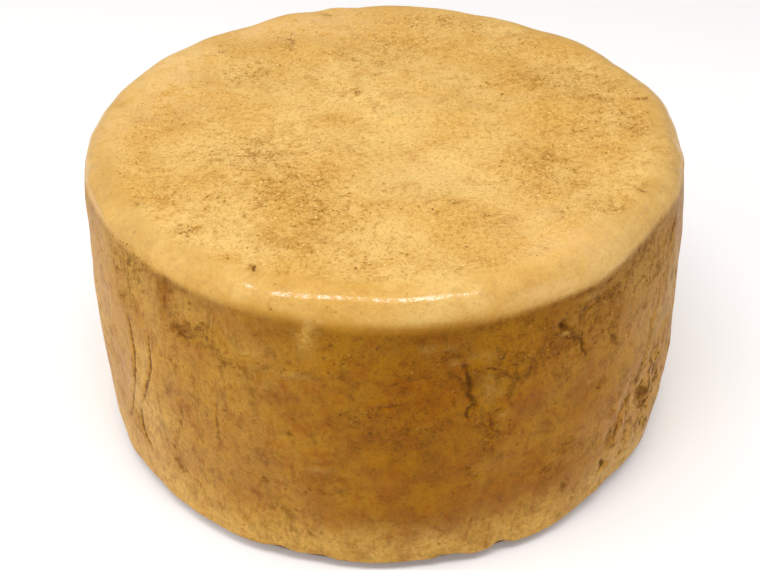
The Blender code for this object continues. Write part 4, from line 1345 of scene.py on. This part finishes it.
@dataclass(frozen=True)
class RindFinish:
    """The waxy rind's gloss, dots and finest grain over its layers of colour.

    Each gloss is a roughness, each bend an index of refraction, and reach and depth are in metres.

    Attributes:
        soiled_gloss: How much rougher soiled rind is.
        mottled_gloss: How much the roughness changes with the mottling.
        crest_coat: How thick the wax is on the crest.
        grime_and_shade_coat: How much of the wax is taken away where creases, cracks and pits are darkened,
            partly by dirt and partly by painted shade.
        grime_and_shade_power: How fast that darkening builds up with the strokes' own darkening.
        pits: The larger and the smaller pits.
        holes: The upright holes of the torn patch.
    """

    gloss: float = 0.46
    soiled_gloss: float = 0.22
    mottled_gloss: float = 0.30
    shine: float = 0.20
    tint: Colour = (1.0, 0.70, 0.22, 1.0)
    bend: float = 1.46
    crest_coat: float = 0.95
    coat_gloss: float = 0.14
    coat_bend: float = 1.72
    grime_and_shade_coat: float = 0.8
    glow: float = 0.10
    glow_reach: Triple = (0.0040, 0.0020, 0.0008)
    grain_depth: float = 0.00042
    grain_strength: float = 0.60
    grime_and_shade_power: float = 0.8
    pits: tuple[Dots, Dots] = (
        Dots(0.0022, 0.30, 0.75, "rough", 0.0011), Dots(0.00125, 0.36, 1.0, "rough", 0.0011),
    )
    chips: Dots = Dots(0.0014, 0.34, 0.75, "rough", 0.0009)
    holes: Dots = Dots(0.0028, 0.33, 0.50, "torn", 0.0011, 0.46)

    def dress(self) -> bpy.types.Material:
        """Builds the rind's material.

        Returns:
            The material.
        """
        paint = Paint("waxy_rind", {
            "Metallic": 0.0, "IOR": self.bend, "Specular IOR Level": self.shine, "Specular Tint": self.tint,
            "Coat Roughness": self.coat_gloss, "Coat IOR": self.coat_bend, "Subsurface Weight": self.glow,
            "Subsurface Radius": self.glow_reach, "Subsurface Scale": 1.0,
        })
        net = paint.net
        ground = self.ground(net)
        top, side = ground.lay(BUTTER, TOP_LAYERS), ground.lay(AMBER, SIDE_LAYERS)
        colour = net.mix(ground["below_collar"], top, side)
        paint.feed("Base Color", ground.lay(colour, GRIME_AND_SHADE_LAYERS))
        soiled = (ground["dust"] + ground["pits"] + ground["patches"] + ground["grime_and_shade"]).clipped()
        mottled = self.mottled_gloss * (ground["mott"] - 0.5)
        paint.feed("Roughness", (self.gloss + self.soiled_gloss * soiled + mottled).clipped())
        broken = ground.amount(
            self.crest_coat, "crest", Fade("grit", 0.44, 0.58, 0.16, 1.0), Fade("mott", 0.36, 0.54, 0.30, 1.0)
        )
        paint.feed("Coat Weight", (broken * (1.0 - self.grime_and_shade_coat * ground["grime_and_shade"])).clipped())
        height = sum(ground.amount(share, *names) for share, names in GRAIN_ROWS)
        feeds = {"Strength": self.grain_strength, "Distance": self.grain_depth, "Height": height}
        paint.feed("Normal", net.add("ShaderNodeBump", None, feeds))
        return paint.material

    def ground(self, net: Net) -> Ground:
        """Puts together what the rind's colour, gloss and grain follow.

        Args:
            net: The material's nodes.

        Returns:
            The values by name.
        """
        ground = Ground(net)
        ground["dust"] = ground.amount(1.0, "stain", Fade("mott", 0.38, 0.66, 0.30, 1.60)).clipped()
        ground["patches"] = ground.total(0.0, dust=0.9)
        ground["fair"] = ground.amount(1.0, "pale", Fade("mott", 0.34, 0.56))
        ground["clean"] = ground.total(1.0, rimmed=-0.60)
        # Dark grain is weaker on the paler sides, partly painted sheen, and on the foot, partly painted
        # bounce light.
        ground["dark_grain_share"] = ground.total(1.0, paleness=-0.40) * ground.total(1.0, foot=-0.45)
        ground["streaky"] = ground.total(0.16, paleness=0.34, foot=0.16)
        # The strokes' darkening, partly dirt and partly painted shade, broken up by the grit.
        dirt_and_shade = ground["dirt_and_shade"] ** self.grime_and_shade_power
        ground["grime_and_shade"] = (dirt_and_shade * ground.faded(Fade("grit", 0.36, 0.66, 0.78, 1.22))).clipped()
        ground["spread"] = ground.amount(1.0, Fade("cloud", 0.44, 0.70), Fade("mott", 0.42, 0.62))
        rough = ground.total(0.03, dust=0.62, torn=0.45, spread=0.22)
        ground["rough"] = rough * ground.total(1.0, rimmed=-0.65)
        large, small = (ground.dots(kind) for kind in self.pits)
        ground["pits"] = large.most(small)
        ground["chips"] = ground.dots(self.chips)
        ground["holes"] = ground.dots(self.holes)
        return ground


@dataclass(frozen=True)
class CrumbFinish:
    """The finish of loose bits on the rind: two colours that mix from bit to bit."""

    name: str
    first: Colour
    second: Colour
    gloss: float
    shine: float
    size: float = 0.003
    span: Pair = (0.35, 0.65)

    def dress(self) -> bpy.types.Material:
        """Builds the bits' material.

        Returns:
            The material.
        """
        paint = Paint(self.name, {"Roughness": self.gloss, "Specular IOR Level": self.shine})
        place = paint.net.add("ShaderNodeTexCoord", out="Object")
        share = paint.net.noise(place, self.size, 2.0).step(*self.span)
        paint.feed("Base Color", paint.net.mix(share, self.first, self.second))
        return paint.material


class Inlet:
    """The named inputs of a node group, and the values that its modifier is given."""

    def __init__(self, name: str) -> None:
        """Makes the group with a shape going in and a shape coming out.

        Args:
            name: The group's name.
        """
        self.tree = bpy.data.node_groups.new(name, "GeometryNodeTree")
        self.net = Net(self.tree)
        self.values: dict[str, object] = {}
        for way in ("INPUT", "OUTPUT"):
            self.tree.interface.new_socket("Shape", in_out=way, socket_type="NodeSocketGeometry")
        self.start = self.tree.nodes.new("NodeGroupInput")

    def take(self, name: str, kind: str, value: object) -> Signal:
        """Adds a named input with the value it is given.

        Args:
            name: The input's name.
            kind: Its kind of socket.
            value: Its value.

        Returns:
            The input.
        """
        socket = self.tree.interface.new_socket(name, in_out="INPUT", socket_type="NodeSocket" + kind)
        self.values[socket.identifier] = value
        return Signal(self.net, self.start.outputs[name])

    def shape(self) -> Signal:
        """The shape that goes in."""
        return Signal(self.net, self.start.outputs["Shape"])

    def finish(self, shape: Signal, material: Signal) -> None:
        """Ends the group: plain geometry in one material.

        Args:
            shape: The shape that comes out.
            material: Its material.
        """
        real = self.net.add("GeometryNodeRealizeInstances", None, {"Geometry": shape})
        clad = self.net.add("GeometryNodeSetMaterial", None, {"Geometry": real, "Material": material})
        self.net.node("NodeGroupOutput", None, {"Shape": clad})

    def apply(self, item: bpy.types.Object) -> None:
        """Runs the group and keeps the result as plain mesh.

        Args:
            item: The object that the group runs on.
        """
        modifier = item.modifiers.new(self.tree.name, "NODES")
        modifier.node_group = self.tree
        for identifier, value in self.values.items():
            modifier[identifier] = value
        graph = bpy.context.evaluated_depsgraph_get()
        result = bpy.data.meshes.new_from_object(item.evaluated_get(graph), depsgraph=graph)
        item.modifiers.clear()
        item.data = result


@dataclass
class Rind:
    """The wheel itself: its net pressed into shape and given its fine skin.

    Sizes and heights of the skin's waves, peel and torn grain are in metres.
    """

    form: WheelForm
    finish: RindFinish
    wave_size: float = 0.0065
    wave_height: float = 0.00016
    peel_size: float = 0.0026
    peel_height: float = 0.00007
    torn_size: float = 0.0032
    torn_height: float = 0.00075
    torn_upright: float = 0.42
    rim_calm: float = 0.35

    def skin(self) -> Inlet:
        """Builds the nodes that press the marks in and add the fine unevenness.

        Returns:
            The node group.
        """
        group = Inlet("rind_skin")
        net = group.net
        place = net.add("GeometryNodeInputPosition")
        offset = net.stored("pressed")
        calm = net.stored("calm") * (1.0 - self.rim_calm * net.stored("rimmed"))
        upright = net.stretched(place, 1.0, self.torn_upright)
        for name, where, size, height, share in (
            ("Wave", place, self.wave_size, self.wave_height, 1.0),
            ("Peel", place, self.peel_size, self.peel_height, 1.0),
            ("Torn", upright, self.torn_size, self.torn_height, net.stored("torn")),
        ):
            wide = group.take(name + " size", "Float", size)
            tall = group.take(name + " height", "Float", height)
            offset = offset + (net.noise(where, wide, 2.0) - 0.5) * 2.0 * tall * calm * share
        normal = net.add("GeometryNodeInputNormal")
        along = net.add("ShaderNodeVectorMath", {"operation": "SCALE"}, {0: normal, "Scale": offset})
        moved = net.stored("moved", "FLOAT_VECTOR")
        total = net.add("ShaderNodeVectorMath", {"operation": "ADD"}, {0: along, 1: moved})
        pressed = net.add("GeometryNodeSetPosition", None, {"Geometry": group.shape(), "Offset": total})
        group.finish(pressed, group.take("Rind", "Material", self.finish.dress()))
        return group

    def build(self) -> bpy.types.Object:
        """Builds the wheel.

        Returns:
            The wheel.
        """
        item = WheelMesh(self.form).build(RindMarks(self.form))
        self.skin().apply(item)
        self.centre(item.data)
        item.data.shade_smooth()
        return item

    @staticmethod
    def centre(mesh: bpy.types.Mesh) -> None:
        """Stands the wheel where its solid stands, flat on its foot.

        Args:
            mesh: The wheel's mesh.
        """
        low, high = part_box(NODE)
        points = points_of(mesh)
        for axis in (0, 1):
            middle = 0.5 * (points[:, axis].min() + points[:, axis].max())
            points[:, axis] += 0.5 * (low[axis] + high[axis]) - middle
        points[points[:, 2] < FLOOR_SNAP, 2] = 0.0
        move_points(mesh, points)


@dataclass
class Bits:
    """Small bits strewn over the rind where one of its marks is strong.

    Attributes:
        name: The piece's name.
        finish: Their finish.
        mark: The mark that they follow.
        most: How many a square metre holds where the mark is full.
        size: Smallest and largest radius in metres.
        flatness: Their height as a share of their width.
        seed: Seed of the draws.
        above: What the mark must exceed.
        lengths: Smallest and largest length as a share of their width.
    """

    name: str
    finish: CrumbFinish
    mark: str
    most: float
    size: Pair
    flatness: float
    seed: int
    above: float
    lengths: Pair = (0.7, 1.6)

    @staticmethod
    def drawn(net: Net, least: "Signal | float", most: "Signal | float", seed: "Signal | int") -> Signal:
        """A random number for every bit."""
        feeds = {2: least, 3: most, "Seed": seed}
        return net.add("FunctionNodeRandomValue", {"data_type": "FLOAT"}, feeds, 1)

    def build(self, wheel: bpy.types.Object) -> bpy.types.Object:
        """Strews the bits over the wheel.

        Args:
            wheel: The finished wheel.

        Returns:
            All the bits as one object.
        """
        group = Inlet(self.name)
        net = group.net
        most = group.take("Most per square metre", "Float", self.most)
        seed = group.take("Seed", "Int", self.seed)
        smallest, largest = (
            group.take(name, "Float", size) for name, size in zip(("Smallest", "Largest"), self.size)
        )
        flatness = group.take("Flatness", "Float", self.flatness)
        strength = (net.stored(self.mark) - self.above).clipped()
        feeds = {"Mesh": group.shape(), "Density": strength * most, "Seed": seed}
        strewn = net.node("GeometryNodeDistributePointsOnFaces", {"distribute_method": "RANDOM"}, feeds)
        points, facing = (Signal(net, strewn.outputs[name]) for name in ("Points", "Rotation"))
        ball = net.add("GeometryNodeMeshIcoSphere", None, {"Radius": 1.0, "Subdivisions": 1})
        size = self.drawn(net, smallest, largest, seed)
        long = self.drawn(net, *self.lengths, self.seed + 1)
        spin = self.drawn(net, 0.0, FULL_TURN, self.seed + 2)
        scale = net.add("ShaderNodeCombineXYZ", None, {0: size * long, 1: size, 2: size * flatness})
        turn = net.add("ShaderNodeCombineXYZ", None, {2: spin})
        feeds = {"Points": points, "Instance": ball, "Rotation": facing, "Scale": scale}
        placed = net.add("GeometryNodeInstanceOnPoints", None, feeds)
        turned = net.add("GeometryNodeRotateInstances", None, {"Instances": placed, "Rotation": turn})
        group.finish(turned, group.take("Bits", "Material", self.finish.dress()))
        item = stand(self.name, wheel.data.copy())
        group.apply(item)
        item.data.shade_smooth()
        return item


@dataclass(frozen=True)
class Lamp:
    """A soft light: where it stands, what it faces, its size and its strength."""

    name: str
    place: Triple
    aim: Triple
    size: Pair
    watts: float
    glossy: bool = False

    def set_up(self) -> None:
        """Sets the light up."""
        light = bpy.data.lights.new(self.name, "AREA")
        light.shape = "RECTANGLE"
        light.size, light.size_y = self.size
        light.energy = self.watts
        item = stand(self.name, light)
        item.location = self.place
        way = Vector(self.aim) - Vector(self.place)
        item.rotation_euler = way.to_track_quat("-Z", "Y").to_euler()
        item.visible_glossy = self.glossy


@dataclass
class Studio:
    """The pale floor, the sky and the soft lights."""

    floor_size: float = 6.0
    floor_colour: Colour = (0.96, 0.945, 0.945, 1.0)
    floor_gloss: float = 0.9
    floor_glow: float = 0.10
    sky_colour: Colour = (1.0, 0.985, 0.96, 1.0)
    sky_strength: float = 0.33
    lamps: tuple[Lamp, ...] = (
        Lamp("overhead", (0.0, 0.06, 0.95), (0.0, 0.0, 0.08), (0.90, 0.70), 2.1),
        Lamp("window", (-0.025, -0.34, 0.95), (0.0, 0.0, 0.10), (0.80, 0.24), 4.7, glossy=True),
        Lamp("front", (0.0, -1.05, 0.75), (0.0, 0.0, 0.06), (0.80, 0.50), 1.70),
        Lamp("left", (-0.85, -0.10, 0.42), (0.0, 0.0, 0.05), (0.55, 0.55), 3.3),
        Lamp("right", (0.85, 0.05, 0.40), (0.0, 0.0, 0.05), (0.55, 0.55), 0.95),
    )

    def build(self) -> bpy.types.Object:
        """Sets up floor, sky and lights.

        Returns:
            The floor.
        """
        mesh = bpy.data.meshes.new("floor")
        half = 0.5 * self.floor_size
        corners = [(-half, -half, 0.0), (half, -half, 0.0), (half, half, 0.0), (-half, half, 0.0)]
        mesh.from_pydata(corners, [], [(0, 1, 2, 3)])
        paint = Paint("pale_floor", {
            "Base Color": self.floor_colour, "Roughness": self.floor_gloss,
            "Emission Color": self.floor_colour, "Emission Strength": self.floor_glow,
        })
        mesh.materials.append(paint.material)
        world = bpy.data.worlds.new("studio")
        world.use_nodes = True
        sky = world.node_tree.nodes["Background"]
        sky.inputs["Color"].default_value = self.sky_colour
        sky.inputs["Strength"].default_value = self.sky_strength
        bpy.context.scene.world = world
        for lamp in self.lamps:
            lamp.set_up()
        return stand("floor", mesh)


@dataclass(frozen=True)
class Eye:
    """The camera, as the picture was taken.

    Attributes:
        distance: From the middle of the foot, in metres.
        elevation: Degrees above the floor.
        aim: The point that it looks at, in metres.
        roll: Degrees that the picture leans.
        focal: Focal length in pixels of the picture.
        picture: Width and height of the picture in pixels.
        sensor: Width of the sensor in millimetres.
        clip: Nearest and farthest distance that it sees, in metres.
    """

    distance: float = 0.4575
    elevation: float = 40.2355
    aim: Triple = (-0.0022, 0.0, 0.0368)
    roll: float = -0.97
    focal: float = 1242.9
    picture: tuple[int, int] = (760, 570)
    sensor: float = 36.0
    clip: Pair = (0.01, 20.0)

    def set_up(self) -> None:
        """Sets the camera up and makes it the scene's own."""
        lift = math.radians(self.elevation)
        place = Vector((0.0, -self.distance * math.cos(lift), self.distance * math.sin(lift)))
        ahead = (Vector(self.aim) - place).normalized()
        right = ahead.cross(Vector((0.0, 0.0, 1.0))).normalized()
        above = right.cross(ahead)
        turn = math.radians(self.roll)
        leant = math.cos(turn) * right + math.sin(turn) * above
        upward = math.cos(turn) * above - math.sin(turn) * right
        camera = bpy.data.cameras.new("camera")
        camera.sensor_fit = "HORIZONTAL"
        camera.sensor_width = self.sensor
        camera.lens = self.focal * self.sensor / self.picture[0]
        camera.clip_start, camera.clip_end = self.clip
        item = stand("camera", camera)
        axes = Matrix((leant, upward, -ahead)).transposed()
        item.matrix_world = Matrix.Translation(place) @ axes.to_4x4()
        bpy.context.scene.camera = item


MOULD = CrumbFinish("mould_bits", linear(156, 106, 42), linear(118, 76, 30), 0.75, 0.15)
FLAKES = CrumbFinish("pale_bits", linear(240, 204, 136), linear(222, 172, 96), 0.35, 0.45)


def declare(piece: bpy.types.Object) -> None:
    """Lets a piece stand with the wheel's own body.

    Args:
        piece: The piece.
    """
    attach(piece, BODY)
    LOG.info("%s: %d triangles", piece.name, sum(len(face.vertices) - 2 for face in piece.data.polygons))


def main() -> None:
    """Builds the wheel, its loose bits and the studio in order."""
    logging.basicConfig(level=logging.INFO)
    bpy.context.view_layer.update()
    wheel = Rind(WheelForm(), RindFinish()).build()
    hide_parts(NODE)
    declare(wheel)
    for bits in (
        Bits("mould_specks", MOULD, "stain", 110000.0, (0.00014, 0.00036), flatness=0.35, seed=3, above=0.20),
        Bits("rind_flakes", FLAKES, "flaky", 60000.0, (0.00012, 0.00034), flatness=0.45, seed=8, above=0.12),
    ):
        declare(bits.build(wheel))
    Studio().build()
    Eye().set_up()
    view = bpy.context.scene.view_settings
    view.view_transform = "Standard"
    view.look = "None"


if __name__ == "__main__":
    main()
